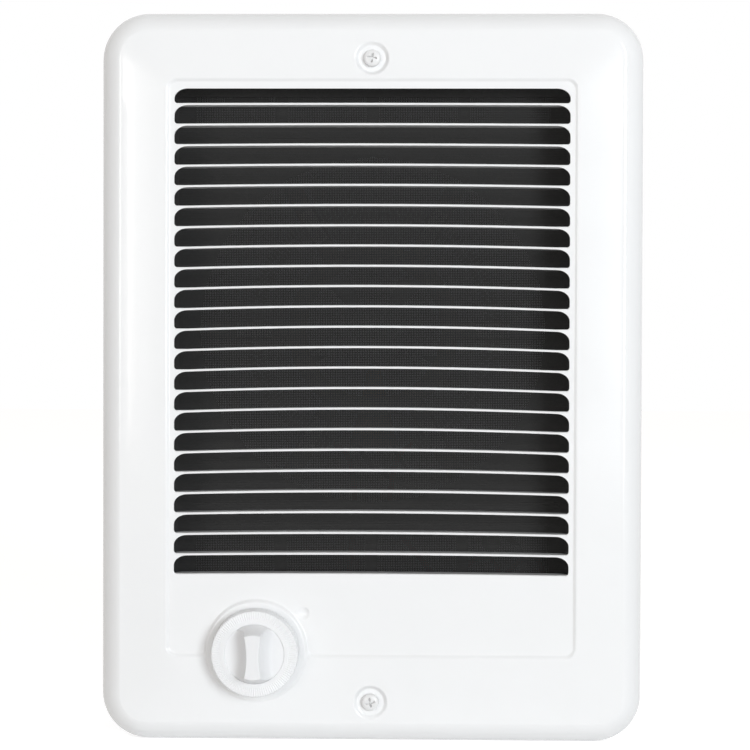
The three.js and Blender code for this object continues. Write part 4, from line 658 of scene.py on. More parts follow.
def grille_sheet():
    """The pressed sheet: rolled edge, crowned face, stamped recess and the louver slots."""
    build = Patchwork()
    outer = [(0.0, y, 0.0) for y in SKIRT_LEVELS]
    inner = [(SHEET, y, 0.0) for y in SKIRT_LEVELS]
    for a in quarter(BULLNOSE_STEPS):
        # a superellipse: fullness 2 would be an ellipse, 1 a flat bevel
        across = max(math.cos(a), 0.0) ** (2 / BULLNOSE_FULLNESS)
        deep = math.sin(a) ** (2 / BULLNOSE_FULLNESS)
        lean = math.atan2(math.sin(a) ** (2 - 2 / BULLNOSE_FULLNESS) * BULLNOSE_WIDTH,
                          max(math.cos(a), 0.0) ** (2 - 2 / BULLNOSE_FULLNESS) * BULLNOSE_RISE)
        outer.append((BULLNOSE_WIDTH * (1 - across), BULLNOSE_FRONT + BULLNOSE_RISE * (1 - deep), lean))
        inner.append((BULLNOSE_WIDTH - (BULLNOSE_WIDTH - SHEET) * across,
                      BULLNOSE_FRONT + BULLNOSE_RISE - (BULLNOSE_RISE - SHEET) * deep, lean))

    def rings(profile, sign):
        points, normals = [], []
        for inset, y, lean in profile:
            places, out = rounded_outline(HALF_WIDTH - inset, HALF_HEIGHT - inset,
                                          CORNER_RADIUS - inset, CORNER_STEPS, SIDE_STEP)
            points.append([(p[0], y, p[1]) for p in places])
            normals.append([np.array([n[0] * math.cos(lean), -math.sin(lean), n[1] * math.cos(lean)]) * sign
                            for n in out])
        build.grid(points, normals, closed=True)
        return points

    front = rings(outer, 1)
    back = rings(inner, -1)
    foot = np.array([0.0, 1.0, 0.0])
    build.grid([front[0], back[0]], [[foot] * len(front[0])] * 2, closed=True)

    border = np.array([(p[0], p[2]) for p in front[-1]])
    contours = [slot_contour(k) for k in range(SLOT_COUNT)]
    contours += [ring_contour(x, z, SCREW_HOLE_RADIUS) for x, z in SCREW_PLACES]
    contours.append(ring_contour(KNOB_X, KNOB_Z, SHAFT_HOLE_RADIUS))
    offsets = [places + out * radius[:, None] for places, out, radius in contours]

    samples = face_samples()
    samples = samples[face_inset(samples[:, 0], samples[:, 1]) > BORDER_GAP]
    for outline in offsets:
        samples = samples[~inside_polygon(samples, outline)]
        samples = samples[spaced(samples, outline, HOLE_GAP)]

    points, edges = [], []
    for outline in [border, *offsets]:
        start = len(points)
        points.extend(outline.tolist())
        edges.extend((start + i, start + (i + 1) % len(outline)) for i in range(len(outline)))
    points.extend(samples.tolist())
    places, _, faces, _, _, _ = delaunay_2d_cdt([Vector(p) for p in points], edges, [], 0, 1e-5)
    places = np.array([tuple(p) for p in places])
    faces = np.array([tuple(f) for f in faces])
    middles = places[faces].mean(axis=1)
    inside = inside_polygon(middles, border)
    for outline in offsets:
        inside &= ~inside_polygon(middles, outline)
    faces = faces[inside]
    heights = face_height(places[:, 0], places[:, 1])
    normals = face_normals(places[:, 0], places[:, 1])
    build.patch(np.stack([places[:, 0], heights, places[:, 1]], axis=1), normals, faces.tolist())
    build.patch(np.stack([places[:, 0], heights + SHEET, places[:, 1]], axis=1), -normals, faces.tolist())

    for contour, out, radius in contours:
        edge = contour + out * radius[:, None]
        base = face_height(edge[:, 0], edge[:, 1])
        rows, row_normals = [], []
        for a in quarter(4):
            at = contour + out * (radius * (1 - math.sin(a)))[:, None]
            depth = base + radius * (1 - math.cos(a))
            rows.append(list(zip(at[:, 0], depth, at[:, 1])))
            row_normals.append([np.array([-n[0] * math.sin(a), -math.cos(a), -n[1] * math.sin(a)])
                                for n in out])
        rows.append(list(zip(contour[:, 0], base + SHEET, contour[:, 1])))
        row_normals.append(row_normals[-1])
        build.grid(rows, row_normals, closed=True)
        rim = list(zip(edge[:, 0], base + SHEET, edge[:, 1]))
        build.grid([rows[-1], rim], [[foot] * len(rim)] * 2, closed=True)
    return build.mesh("grille_sheet")


def blade_depth(slot, x):
    """How far a louver reaches back at x: the shape that was cut from its slot."""
    run = np.clip((np.abs(x) - ARCH_HALF_SPAN) / SLOT_TOP_CORNER[0], 0, 1)
    return slot_height(slot) - SLOT_TOP_CORNER[1] * (1 - np.sqrt(1 - run * run))


def louver_blades():
    """The flaps bent back from the slots, with slightly rounded cut edges."""
    build = Patchwork()
    half = SLOT_HALF_WIDTH - BLADE_END_GAP
    ends = np.linspace(ARCH_HALF_SPAN, half, 9)
    xs = np.concatenate([-ends[::-1][:-1], np.linspace(-ARCH_HALF_SPAN, ARCH_HALF_SPAN, 33), ends[1:]])
    edge = 0.15
    front = RECESS_FLOOR + SHEET / 2
    for slot in range(SLOT_COUNT):
        rows, normals = [], []
        for x in xs:
            top = slot_bottom(slot) + bow(slot, min(abs(x), ARCH_HALF_SPAN)) - 0.005
            back = RECESS_FLOOR + blade_depth(slot, x)
            section, directions = [(front, top)], [(0.0, 1.0)]
            for centre, start in (((back - edge, top - edge), 90), ((back - edge, top - SHEET + edge), 0)):
                for i in range(4):
                    a = math.radians(start - 30 * i)
                    section.append((centre[0] + edge * math.cos(a), centre[1] + edge * math.sin(a)))
                    directions.append((math.cos(a), math.sin(a)))
            section.append((front, top - SHEET))
            directions.append((0.0, -1.0))
            rows.append([(x, y, z) for y, z in section])
            normals.append([np.array([0.0, dy, dz]) for dy, dz in directions])
        build.grid(rows, normals)
        for row, sign in ((rows[0], -1.0), (rows[-1], 1.0)):
            build.patch(row, [np.array([sign, 0.0, 0.0])] * len(row), [tuple(range(len(row)))])
        lid = [[rows[i][0], rows[i][-1]] for i in range(len(rows))]
        build.grid(lid, [[np.array([0.0, -1.0, 0.0])] * 2] * len(lid))
    return build.mesh("louver_blades")


def make_grille():
    dress(new_object("grille_sheet", grille_sheet()), "housing", "enamel", "grille")
    dress(new_object("louver_blades", louver_blades()), "housing", "enamel", "grille")


# ---- control knob ----

KNOB_REAR = KNOB_HIGH[1]
KNOB_TOP = KNOB_LOW[1]
KNOB_SKIRT_HEIGHT = 8.0
KNOB_FACE = KNOB_REAR - KNOB_SKIRT_HEIGHT
KNOB_RADIUS, KNOB_FACE_RADIUS = 18.0, 17.85
KNOB_EDGE = 0.7
HUB_RADIUS = 12.3
HUB_DEPTH, HUB_EDGE = 0.6, 0.25
FACE_RINGS = (16.3, 15.9, 15.2, 14.6)
TICK_COUNT = 108
TICK_INNER, TICK_HEIGHT = 13.9, 0.18
KNOB_WALL, KNOB_DRAFT, KNOB_COLUMNS = 1.6, 0.2, 96
SOCKET_RADIUS, SOCKET_BORE, SOCKET_DEPTH = 6.0, 3.3, 9.5
GRIP_WAIST, GRIP_FLARE_END, GRIP_COVE = 2.6, 1.1, 4.9
GRIP_END_TOP = 9.2
GRIP_EDGE = 0.4


def grip_half_width(z, rise):
    """Half the grip's width: waisted along its length, with a round cove down to the hub."""
    cove = GRIP_COVE * (1 - math.sqrt(max(1 - (1 - rise) ** 2, 0)))
    return GRIP_WAIST + GRIP_FLARE_END * (z / GRIP_END_TOP) ** 2 + cove


def grip_outline(rise, shrink=0.0):
    """The grip's section at a share of its height, anticlockwise from the lower right."""
    radius = HUB_RADIUS + (GRIP_END_TOP - HUB_RADIUS) * rise - shrink
    end = radius
    for _ in range(12):
        width = min(grip_half_width(end, rise) - shrink, radius * 0.999)
        end = math.sqrt(radius ** 2 - width ** 2)
    zs = np.linspace(-end, end, 25)
    right = [(grip_half_width(z, rise) - shrink, z) for z in zs]
    a = math.atan2(end, width)
    angles = np.linspace(a, math.pi - a, 17)[1:-1]
    upper = right + [(radius * math.cos(t), radius * math.sin(t)) for t in angles]
    return upper + [(-x, -z) for x, z in upper]


def knob_mesh():
    """The knob: ticked skirt, sunk hub with its grip, and a hollow back with the shaft's socket."""
    build = Patchwork()
    centre = (KNOB_X, KNOB_Z)
    columns = TICK_COUNT * 6
    angles = np.arange(columns) * 2 * math.pi / columns
    ridge = 0.5 + 0.5 * np.cos(angles * TICK_COUNT)
    foot = KNOB_FACE + HUB_DEPTH
    profile = [(KNOB_RADIUS, KNOB_REAR),
               ((KNOB_RADIUS + KNOB_FACE_RADIUS) / 2, (KNOB_REAR + KNOB_FACE) / 2)]
    profile += [(KNOB_FACE_RADIUS - KNOB_EDGE * (1 - math.cos(a)), KNOB_FACE + KNOB_EDGE * (1 - math.sin(a)))
                for a in quarter(6)]
    profile += [(r, KNOB_FACE) for r in (*FACE_RINGS, TICK_INNER + 0.2, TICK_INNER, 13.5, 13.0)]
    profile += [(HUB_RADIUS + HUB_EDGE * (1 - math.sin(a)), KNOB_FACE + HUB_EDGE * (1 - math.cos(a)))
                for a in quarter(4)]
    profile.append((HUB_RADIUS, foot))
    rows = []
    for r, y in profile:
        ticked = smooth((r - TICK_INNER) / 0.3) * (y < KNOB_FACE + 0.9)
        rows.append([(centre[0] + r * math.cos(a), y - TICK_HEIGHT * ticked * (k - 1),
                      centre[1] + r * math.sin(a)) for a, k in zip(angles, ridge)])
    build.grid(rows, grid_normals(rows, True, facing(0, -1, 0)), closed=True)
    hub = [(r, foot) for r in (HUB_RADIUS, SOCKET_RADIUS, 0.001)]
    turned(build, hub, centre, KNOB_COLUMNS, facing(0, -1, 0))

    height = foot - KNOB_TOP
    rises = [1 - math.cos(a) for a in quarter(16)]
    rises = [rise for rise in rises if rise * height <= height - GRIP_EDGE] + [1 - GRIP_EDGE / height]
    rows = [[(centre[0] + x, foot - height * rise, centre[1] + z) for x, z in grip_outline(rise)]
            for rise in rises]
    for a in quarter(4)[1:]:
        shrink = GRIP_EDGE * (1 - math.cos(a))
        y = KNOB_TOP + GRIP_EDGE * (1 - math.sin(a))
        rows.append([(centre[0] + x, y, centre[1] + z) for x, z in grip_outline(1.0, shrink)])
    build.grid(rows, grid_normals(rows, True, outwards(centre, -0.3)), closed=True)
    top = rows[-1]
    build.patch(top, [np.array([0.0, -1.0, 0.0])] * len(top), [tuple(range(len(top)))])

    roof = foot + KNOB_WALL
    socket_end = KNOB_REAR - SOCKET_DEPTH
    inner = KNOB_FACE_RADIUS - KNOB_WALL
    path = ((KNOB_RADIUS, KNOB_REAR), (inner, KNOB_REAR), (inner - KNOB_DRAFT, roof),
            (SOCKET_RADIUS, roof), (SOCKET_RADIUS, KNOB_REAR), (SOCKET_BORE, KNOB_REAR),
            (SOCKET_BORE, socket_end), (0.001, socket_end))
    rear = facing(0, 1, 0)
    sides = (rear, inwards(centre), rear, outwards(centre), rear, inwards(centre), rear)
    for start, end, side in zip(path, path[1:], sides):
        turned(build, [start, end], centre, KNOB_COLUMNS, side)
    return build.mesh("control_knob_moulding")


def make_knob():
    dress(new_object("knob_moulding", knob_mesh()), "thermostat_control", "knob_plastic", "control_knob")


# ---- screws ----

CROSS_REACH = 0.62
CROSS_ARM = 0.26
CROSS_DEPTH_SHARE = 0.6
CROSS_MOUTH, CROSS_TAPER = 1.12, 0.62
HEAD_RIM_SHARE, HEAD_EDGE = 0.3, 0.1
PITCH_SHARE, THREAD_SHARE, POINT_SHARE = 0.55, 0.16, 0.8


def screw_mesh(name, head_radius, head_height, shank_radius, length):
    """A pan-head screw along +Y with its seat at y = 0: domed head and threaded shank, without the cross
    recess.
    """
    build = Patchwork()
    # the exponents make the head rounder than an ellipse, over a straight rim
    profile = [(0.001, -head_height)]
    profile += [(head_radius * math.sin(a) ** 0.8,
                 -head_height * (HEAD_RIM_SHARE + (1 - HEAD_RIM_SHARE) * math.cos(a) ** 0.6))
                for a in quarter(12)[1:]]
    profile += [(head_radius, -HEAD_EDGE), (head_radius - HEAD_EDGE, 0.0), (shank_radius, 0.0)]
    turned(build, profile, (0, 0), 48, facing(0, -1, 0))
    columns, per_turn = 24, 6
    pitch = min(shank_radius * PITCH_SHARE, length / 4)
    count = max(int((length - shank_radius * POINT_SHARE) / pitch * per_turn), 2 * per_turn)
    rows = []
    for i in range(count + 1):
        y = i * pitch / per_turn
        row = []
        for c in range(columns):
            a = 2 * math.pi * c / columns
            wave = abs(((y / pitch - c / columns) % 1.0) * 2 - 1)
            fade = min(i / per_turn, (count - i) / per_turn, 1.0)
            radius = shank_radius - shank_radius * THREAD_SHARE * wave * fade
            row.append((radius * math.cos(a), y, radius * math.sin(a)))
        rows.append(row)
    build.grid(rows, grid_normals(rows, True, outwards((0, 0))), closed=True)
    tail = count * pitch / per_turn
    turned(build, [(shank_radius, tail), (shank_radius * 0.25, length - 0.05), (0.001, length)],
           (0, 0), columns, outwards((0, 0), 0.3))
    return build.mesh(name)


def cross_tool(head_radius, head_height):
    """The tapered cross that a driver leaves in a screw's head."""
    reach, arm = head_radius * CROSS_REACH, head_radius * CROSS_ARM / 2
    outline = []
    for k in range(4):
        turn = Matrix.Rotation(k * math.pi / 2, 2)
        for x, z in ((reach, -arm), (reach, arm), (arm, arm)):
            outline.append(turn @ Vector((x, z)))
    build = bmesh.new()
    levels = ((-head_height - 0.5, CROSS_MOUTH), (-head_height * (1 - CROSS_DEPTH_SHARE), CROSS_TAPER))
    loft(build, *([(p.x * scale, y, p.y * scale) for p in outline] for y, scale in levels))
    return build


def make_screw(node, body, slot, head_radius, head_height, shank_radius, spin=0.0, backward=False):
    low, high = node_box(node)
    length = high[1] - low[1] - head_height
    piece = new_object(node + "_body", screw_mesh(node, head_radius, head_height, shank_radius, length))
    drilled(piece, cross_tool(head_radius, head_height))
    seat = high[1] - head_height if backward else low[1] + head_height
    centre = (low + high) / 2
    turn = Matrix.Rotation(math.radians(spin), 4, "Y")
    if backward:
        turn = Matrix.Rotation(math.pi, 4, "Z") @ turn
    piece.data.transform(Matrix.Translation((centre[0] * MM, seat * MM, centre[2] * MM)) @ turn)
    return dress(piece, body, slot, node)


def make_screws():
    make_screw("grille_screw_top", "housing", "white_screw", 3.55, 2.3, 1.9, 8.0)
    make_screw("grille_screw_bottom", "housing", "white_screw", 3.55, 2.3, 1.9, -12.0)
    for i, spin in enumerate((20.0, 65.0, 38.0, 81.0)):
        make_screw(f"deck_screw_{i + 1}", "housing", "zinc_steel", 3.4, 2.0, 1.8, spin)
    make_screw("ground_screw", "housing", "green_screw", 4.5, 2.6, 1.9, 30.0)
    make_screw("motor_screw_left", "housing", "zinc_steel", 3.6, 2.0, 1.9, 12.0, True)
    make_screw("motor_screw_right", "housing", "zinc_steel", 3.6, 2.0, 1.9, 50.0, True)


# ---- screen ----

SCREEN_BORDER = 5.0
WIRE_PITCH, WIRE_WIDTH, WIRE_DEPTH, WIRE_TUCK = 0.72, 0.54, 0.25, 1.0
BORDER_BEVEL = 0.2


def bar(build, low, high):
    """Adds a straight bar to a bmesh; corners in millimetres."""
    middle, size = (np.array(low) + high) / 2, np.array(high) - low
    for v in bmesh.ops.create_cube(build, size=1.0)["verts"]:
        v.co = Vector([(middle[k] + v.co[k] * size[k]) * MM for k in range(3)])


def make_screen():
    """Wire cloth of two crossed layers in a border of four flat bars."""
    (x0, y0, z0), (x1, y1, z1) = SCREEN_LOW, SCREEN_HIGH
    middle, half = (y0 + y1) / 2, WIRE_WIDTH / 2
    left, right, bottom, top = x0 + SCREEN_BORDER, x1 - SCREEN_BORDER, z0 + SCREEN_BORDER, z1 - SCREEN_BORDER
    build = bmesh.new()
    for x in np.arange(left + WIRE_PITCH / 2, right, WIRE_PITCH):
        bar(build, (x - half, middle, bottom - WIRE_TUCK), (x + half, middle + WIRE_DEPTH, top + WIRE_TUCK))
    for z in np.arange(bottom + WIRE_PITCH / 2, top, WIRE_PITCH):
        bar(build, (left - WIRE_TUCK, middle - WIRE_DEPTH, z - half), (right + WIRE_TUCK, middle, z + half))
    cloth = new_object("screen_cloth", from_bmesh("screen_cloth", build))
    dress(cloth, "housing", "matte_black_paint", "louver_screen")
    build = bmesh.new()
    for xa, xb, za, zb in ((x0, x1, z0, bottom), (x0, x1, top, z1),
                           (x0, left, bottom, top), (right, x1, bottom, top)):
        bar(build, (xa, y0, za), (xb, y1, zb))
    border = new_object("screen_border", from_bmesh("screen_border", build))
    bevel = border.modifiers.new("edge", "BEVEL")
    bevel.width, bevel.segments = BORDER_BEVEL * MM, 2
    dress(border, "housing", "matte_black_paint", "louver_screen")


# ---- wall can ----

CAN_SHEET = 0.6
CAN_BEND = 1.6
CAN_END = 128.0
LAP, SEAM_GAP = 12.0, 0.2
WELD_RADIUS, WELD_DEPTH = 1.7, 0.15
WELD_DEPTHS, WELD_ACROSS = (12.0, 36.0, 60.0, 84.0), (-80.0, -40.0, 0.0, 40.0, 80.0)
NAIL_HOLE_RADIUS, NAIL_HOLE_Z, NAIL_HOLE_DEPTHS = 2.4, 60.0, (22.0, 72.0)
PORT_X, PORT_Y, PORT_RADIUS = 60.0, 72.0, 11.0
BACK_KNOCKOUT_Z = -95.0
GROOVE_WIDTH, GROOVE_DEPTH, GROOVE_TIE = 0.8, 0.3, 0.12
PRY_HALF_LENGTH, PRY_RADIUS = 2.5, 0.6
TAB_HALF_WIDTH, TAB_CORNER = 20.0, 5.0
LUG_X, LUG_Z, LUG_HALF, LUG_FRONT, LUG_LEG = 93.0, 95.0, 6.0, 3.3, 9.0


def knockout(build, centre, axis, surface, inward):
    """The ring groove of a knockout, open at two ties, and its pry slot."""
    gap = math.degrees(GROOVE_TIE)
    for start in (gap, 180 + gap):
        outer = arc(centre, PORT_RADIUS, start, start + 180 - 2 * gap, 24)
        inner = arc(centre, PORT_RADIUS - GROOVE_WIDTH, start + 180 - 2 * gap, start, 24)
        prism(build, outer + inner, axis, surface - inward, surface + inward * GROOVE_DEPTH)
    x, z = centre
    slot = arc((x + PRY_HALF_LENGTH, z), PRY_RADIUS, -90, 90)
    slot += arc((x - PRY_HALF_LENGTH, z), PRY_RADIUS, 90, 270)
    prism(build, slot, axis, surface - inward, surface + inward * GROOVE_DEPTH)


def channel(half, front, back, sheet, bend):
    """Section of a sheet folded into a U that opens towards front."""
    def wall(width, depth, radius):
        right = arc((width - radius, depth - radius), radius, 0, 90)
        return [(width, front), *right, *[(-x, y) for x, y in reversed(right)], (-width, front)]
    return wall(half, back, bend) + wall(half - sheet, back - sheet, bend - sheet)[::-1]


def sheet_part(name, outline, axis, low, high, holes):
    """A section drawn out along an axis, with closed shapes cut out of it."""
    build = bmesh.new()
    prism(build, outline, axis, low, high)
    return drilled(made(name, build), holes)


def can_lug(side, row):
    """A tab bent inward from the can's side, with the hole for a deck screw."""
    face = CAN_HIGH[0] - 2 * CAN_SHEET
    elbow = (face - CAN_BEND, LUG_FRONT + CAN_BEND)
    section = [(LUG_X - LUG_HALF, LUG_FRONT), *arc(elbow, CAN_BEND, -90, 0),
               (face, LUG_FRONT + LUG_LEG), (face - CAN_SHEET, LUG_FRONT + LUG_LEG),
               *arc(elbow, CAN_BEND - CAN_SHEET, 0, -90), (LUG_X - LUG_HALF, LUG_FRONT + CAN_SHEET)]
    hole = bmesh.new()
    disc(hole, (side * LUG_X, row * LUG_Z), SCREW_HOLE_RADIUS, 1, LUG_FRONT - 1, LUG_FRONT + 2)
    return sheet_part("lug", [(side * x, y) for x, y in section], 2, row * LUG_Z - LUG_HALF,
                      row * LUG_Z + LUG_HALF, hole)


def can_wrap():
    """Back and sides from one sheet, with the lugs for the deck."""
    half, back, end = CAN_HIGH[0] - CAN_SHEET, CAN_HIGH[1] - CAN_SHEET, CAN_END - CAN_SHEET
    holes = bmesh.new()
    for side in (-1, 1):
        for y in NAIL_HOLE_DEPTHS:
            for z in (-NAIL_HOLE_Z, NAIL_HOLE_Z):
                disc(holes, (y, z), NAIL_HOLE_RADIUS, 0, side * (half - 3), side * (half + 3))
    ground = sum(node_box("ground_screw")) / 2
    disc(holes, (ground[0], ground[2]), SCREW_HOLE_RADIUS, 1, back - 3, back + 3)
    knockout(holes, (-PORT_X, BACK_KNOCKOUT_Z), 1, back, -1)
    section = channel(half, CAN_LOW[1], back, CAN_SHEET, CAN_BEND)
    pieces = [sheet_part("wrap", section, 2, -end, end, holes)]
    pieces += [can_lug(side, row) for side in (-1, 1) for row in (-1, 1)]
    return joined("wall_can_wrap", pieces)


def can_end(row):
    """An end plate lapped over the wrap, with its spot welds, its port and its tab."""
    front, back, half, end = CAN_LOW[1], CAN_HIGH[1], CAN_HIGH[0], CAN_END
    seam = back - CAN_BEND - SEAM_GAP
    holes = bmesh.new()
    for side in (-1, 1):
        for y in WELD_DEPTHS:
            disc(holes, (y, row * (end - LAP / 2)), WELD_RADIUS, 0,
                 side * (half - WELD_DEPTH), side * (half + 1))
    knockout(holes, (PORT_X, PORT_Y), 2, row * end, -row)
    if row > 0:
        disc(holes, (-PORT_X, PORT_Y), PORT_RADIUS, 2, end - 3, end + 3)
    section = channel(half, end - LAP, end, CAN_SHEET, CAN_BEND)
    pieces = [sheet_part("end_plate", [(x, row * z) for x, z in section], 1, front, seam, holes)]

    elbow = (back - CAN_BEND, end - CAN_BEND)
    lip = [(seam, end), *arc(elbow, CAN_BEND, 90, 0), (back, end - LAP), (back - CAN_SHEET, end - LAP),
           *arc(elbow, CAN_BEND - CAN_SHEET, 0, 90), (seam, end - CAN_SHEET)]
    holes = bmesh.new()
    for x in WELD_ACROSS:
        disc(holes, (x, row * (end - LAP / 2)), WELD_RADIUS, 1, back - WELD_DEPTH, back + 1)
    section = [(y, row * z) for y, z in lip]
    pieces.append(sheet_part("lip", section, 0, CAN_BEND - half, half - CAN_BEND, holes))

    tip = CAN_HIGH[2] if row > 0 else -CAN_LOW[2]
    outline = [(TAB_HALF_WIDTH, end - CAN_SHEET),
               *arc((TAB_HALF_WIDTH - TAB_CORNER, tip - TAB_CORNER), TAB_CORNER, 0, 90)]
    outline += [(-x, z) for x, z in reversed(outline)]
    hole = bmesh.new()
    disc(hole, SCREW_PLACES[0 if row > 0 else 1], SCREW_HOLE_RADIUS, 1, front - 1, front + 2)
    pieces.append(sheet_part("tab", [(x, row * z) for x, z in outline], 1, front, front + CAN_SHEET, hole))
    return pieces


def make_wall_can():
    dress(can_wrap(), "housing", "galvanised_steel", "wall_can")
    ends = can_end(1) + can_end(-1)
    dress(joined("wall_can_ends", ends), "housing", "galvanised_steel", "wall_can")


# ---- heating coil ----

COIL_RING_RADIUS, COIL_START, COIL_SWEEP = 52.0, math.radians(-70), math.radians(320)
COIL_TURNS, COIL_TURN_STEPS, COIL_WIRE_RADIUS = 150, 14, 0.45


def coil_mesh():
    """Resistance wire wound into an open helix that follows a ring."""
    ring_low, ring_high = node_box("element_frame")
    low, high = node_box("element_coil")
    centre = (ring_low + ring_high) / 2
    radius = (high[1] - low[1]) / 2 - COIL_WIRE_RADIUS - 0.05
    t = np.linspace(0, 1, COIL_TURNS * COIL_TURN_STEPS + 1)
    along = COIL_START + COIL_SWEEP * t
    wound = 2 * math.pi * COIL_TURNS * t
    # both ends are drawn in to the axis, where the leads meet them
    radius = radius * np.clip(np.minimum(t, 1 - t) * COIL_TURNS, 0, 1)
    reach = COIL_RING_RADIUS + radius * np.cos(wound)
    path = np.stack([centre[0] + reach * np.cos(along), (low[1] + high[1]) / 2 + radius * np.sin(wound),
                     centre[2] + reach * np.sin(along)], axis=1)
    tangent = np.gradient(path, axis=0)
    tangent /= np.linalg.norm(tangent, axis=1)[:, None]
    side = np.cross(tangent, np.stack([np.cos(along), 0 * along, np.sin(along)], axis=1))
    side /= np.linalg.norm(side, axis=1)[:, None]
    up = np.cross(side, tangent)
    around = np.arange(6) * math.pi / 3
    out = np.cos(around)[None, :, None] * side[:, None] + np.sin(around)[None, :, None] * up[:, None]
    rows = path[:, None] + COIL_WIRE_RADIUS * out
    build = Patchwork()
    build.grid(rows.tolist(), list(out), closed=True)
    for end, sign in ((0, -1), (-1, 1)):
        build.patch(rows[end].tolist(), [tangent[end] * sign] * len(around), [tuple(range(len(around)))])
    return build.mesh("coil_wire")


def make_coil():
    dress(new_object("coil_wire", coil_mesh()), "housing", "nichrome", "element_coil")


# ---- fan ----

FAN_BLADES, FAN_SHEET = 5, 0.9
FAN_HUB_RADIUS, FAN_HUB_EDGE = 14.0, 1.5
FAN_ROOT_SPAN, FAN_TIP_SPAN = math.radians(52.0), math.radians(46.0)
FAN_AXIAL, FAN_CAMBER = 12.0, 1.2
FAN_HUB_HALF_DEPTH, FAN_BORE, FAN_TIP_INSET = 7.0, 3.3, 0.2
FAN_STEPS, FAN_COLUMNS = (14, 12), 64


def fan_blade(build, centre, middle, tip, angle):
    """One pressed blade: twisted, cambered and rounded at its tip corners."""
    radial, chord = FAN_STEPS
    sides = []
    for face in (-1, 1):
        rows = []
        for i in range(radial + 1):
            share = i / radial
            radius = FAN_HUB_RADIUS - 1 + (tip - FAN_HUB_RADIUS + 1) * share
            span = (FAN_ROOT_SPAN + (FAN_TIP_SPAN - FAN_ROOT_SPAN) * share) * (1 - 0.16 * share ** 8)
            row = []
            for j in range(chord + 1):
                across = j / chord - 0.5
                a = angle + across * span
                hollow = FAN_CAMBER * (4 * across ** 2 - 1) * math.sin(math.pi * share)
                row.append((centre[0] + radius * math.cos(a), middle + across * FAN_AXIAL + hollow
                            + face * FAN_SHEET / 2, centre[1] + radius * math.sin(a)))
            rows.append(row)
        build.grid(rows, grid_normals(rows, False, facing(0, face, 0)))
        sides.append(np.array(rows))
    middle_point = np.mean([side.mean(axis=(0, 1)) for side in sides], axis=0)
    for edge in (np.s_[-1], np.s_[:, 0], np.s_[:, -1]):
        rim = [side[edge].tolist() for side in sides]
        out = sides[0][edge].mean(axis=0) - middle_point
        build.grid(rim, grid_normals(rim, False, facing(*out)))


def fan_mesh():
    low, high = node_box("fan_blade")
    middle = (low[1] + high[1]) / 2
    shaft = sum(node_box("motor_shaft")) / 2
    centre = (shaft[0], shaft[2])
    tip = max(high[0] - centre[0], centre[0] - low[0], high[2] - centre[1])
    build = Patchwork()
    for i in range(FAN_BLADES):
        fan_blade(build, centre, middle, tip - FAN_TIP_INSET, math.pi / 2 + 2 * math.pi * i / FAN_BLADES)
    half, edge = FAN_HUB_HALF_DEPTH, FAN_HUB_EDGE
    for face in (-1, 1):
        curve = [(FAN_HUB_RADIUS - edge + edge * math.cos(a),
                  middle + face * (half - edge + edge * math.sin(a))) for a in quarter(6)]
        turned(build, [(FAN_HUB_RADIUS, middle), *curve], centre, FAN_COLUMNS, outwards(centre, 0.2 * face))
        turned(build, [curve[-1], (FAN_BORE, curve[-1][1])], centre, FAN_COLUMNS, facing(0, face, 0))
    bore = [(FAN_BORE, middle - half), (FAN_BORE, middle + half)]
    turned(build, bore, centre, FAN_COLUMNS, inwards(centre))
    return build.mesh("fan_pressing")


def make_fan():
    dress(new_object("fan_pressing", fan_mesh()), "fan_rotor", "fan_aluminium", "fan_blade")


# ---- outlet shroud ----

SHROUD_RADIUS, SHROUD_FLANGE_RADIUS, SHROUD_LIP_RADIUS = 74.4, 85.0, 79.0
SHROUD_SHEET, SHROUD_BEND, SHROUD_COLUMNS = 0.8, 2.0, 120
NOTCH_HALF_WIDTH, NOTCH_HALF_DEPTH, NOTCH_CORNER = 12.0, 6.0, 2.0


def make_shroud():
    """A spun ring with a flange against the deck, a lip behind, and a notch for the leads."""
    low, high = node_box("outlet_shroud")
    centre = (low + high) / 2
    front, rear, bend = low[1], high[1], SHROUD_RADIUS + SHROUD_BEND
    tight = SHROUD_BEND - SHROUD_SHEET
    section = [*arc((bend, front + SHROUD_BEND), SHROUD_BEND, 180, 270), (SHROUD_FLANGE_RADIUS, front),
               (SHROUD_FLANGE_RADIUS, front + SHROUD_SHEET),
               *arc((bend, front + SHROUD_BEND), tight, 270, 180),
               *arc((bend, rear - SHROUD_BEND), tight, 180, 90), (SHROUD_LIP_RADIUS, rear - SHROUD_SHEET),
               (SHROUD_LIP_RADIUS, rear), *arc((bend, rear - SHROUD_BEND), SHROUD_BEND, 90, 180)]
    build = bmesh.new()
    rings = []
    for i in range(SHROUD_COLUMNS):
        a = 2 * math.pi * i / SHROUD_COLUMNS
        places = [(centre[0] + r * math.cos(a), y, centre[2] + r * math.sin(a)) for r, y in section]
        rings.append([build.verts.new([v * MM for v in place]) for place in places])
    for here, beside in zip(rings, rings[1:] + rings[:1]):
        for j in range(len(section)):
            k = (j + 1) % len(section)
            build.faces.new((here[j], here[k], beside[k], beside[j]))
    ring = made("shroud", build)
    coil_low, coil_high = node_box("element_coil")
    middle = (coil_low[1] + coil_high[1]) / 2
    w, d, c = NOTCH_HALF_WIDTH, NOTCH_HALF_DEPTH, NOTCH_CORNER
    outline = []
    for turn, (sx, sy) in enumerate(((1, 1), (-1, 1), (-1, -1), (1, -1))):
        outline += arc((centre[0] + sx * (w - c), middle + sy * (d - c)), c, 90 * turn, 90 * turn + 90, 4)
    notch = bmesh.new()
    prism(notch, outline, 2, centre[2] - SHROUD_FLANGE_RADIUS, centre[2] - SHROUD_RADIUS / 2)
    dress(joined("shroud_ring", [drilled(ring, notch)]), "housing", "galvanised_steel", "outlet_shroud")


# ---- leads ----

LEADS = ("element_limit", "element_thermostat", "motor_a", "motor_b", "supply_limit", "supply_thermostat")


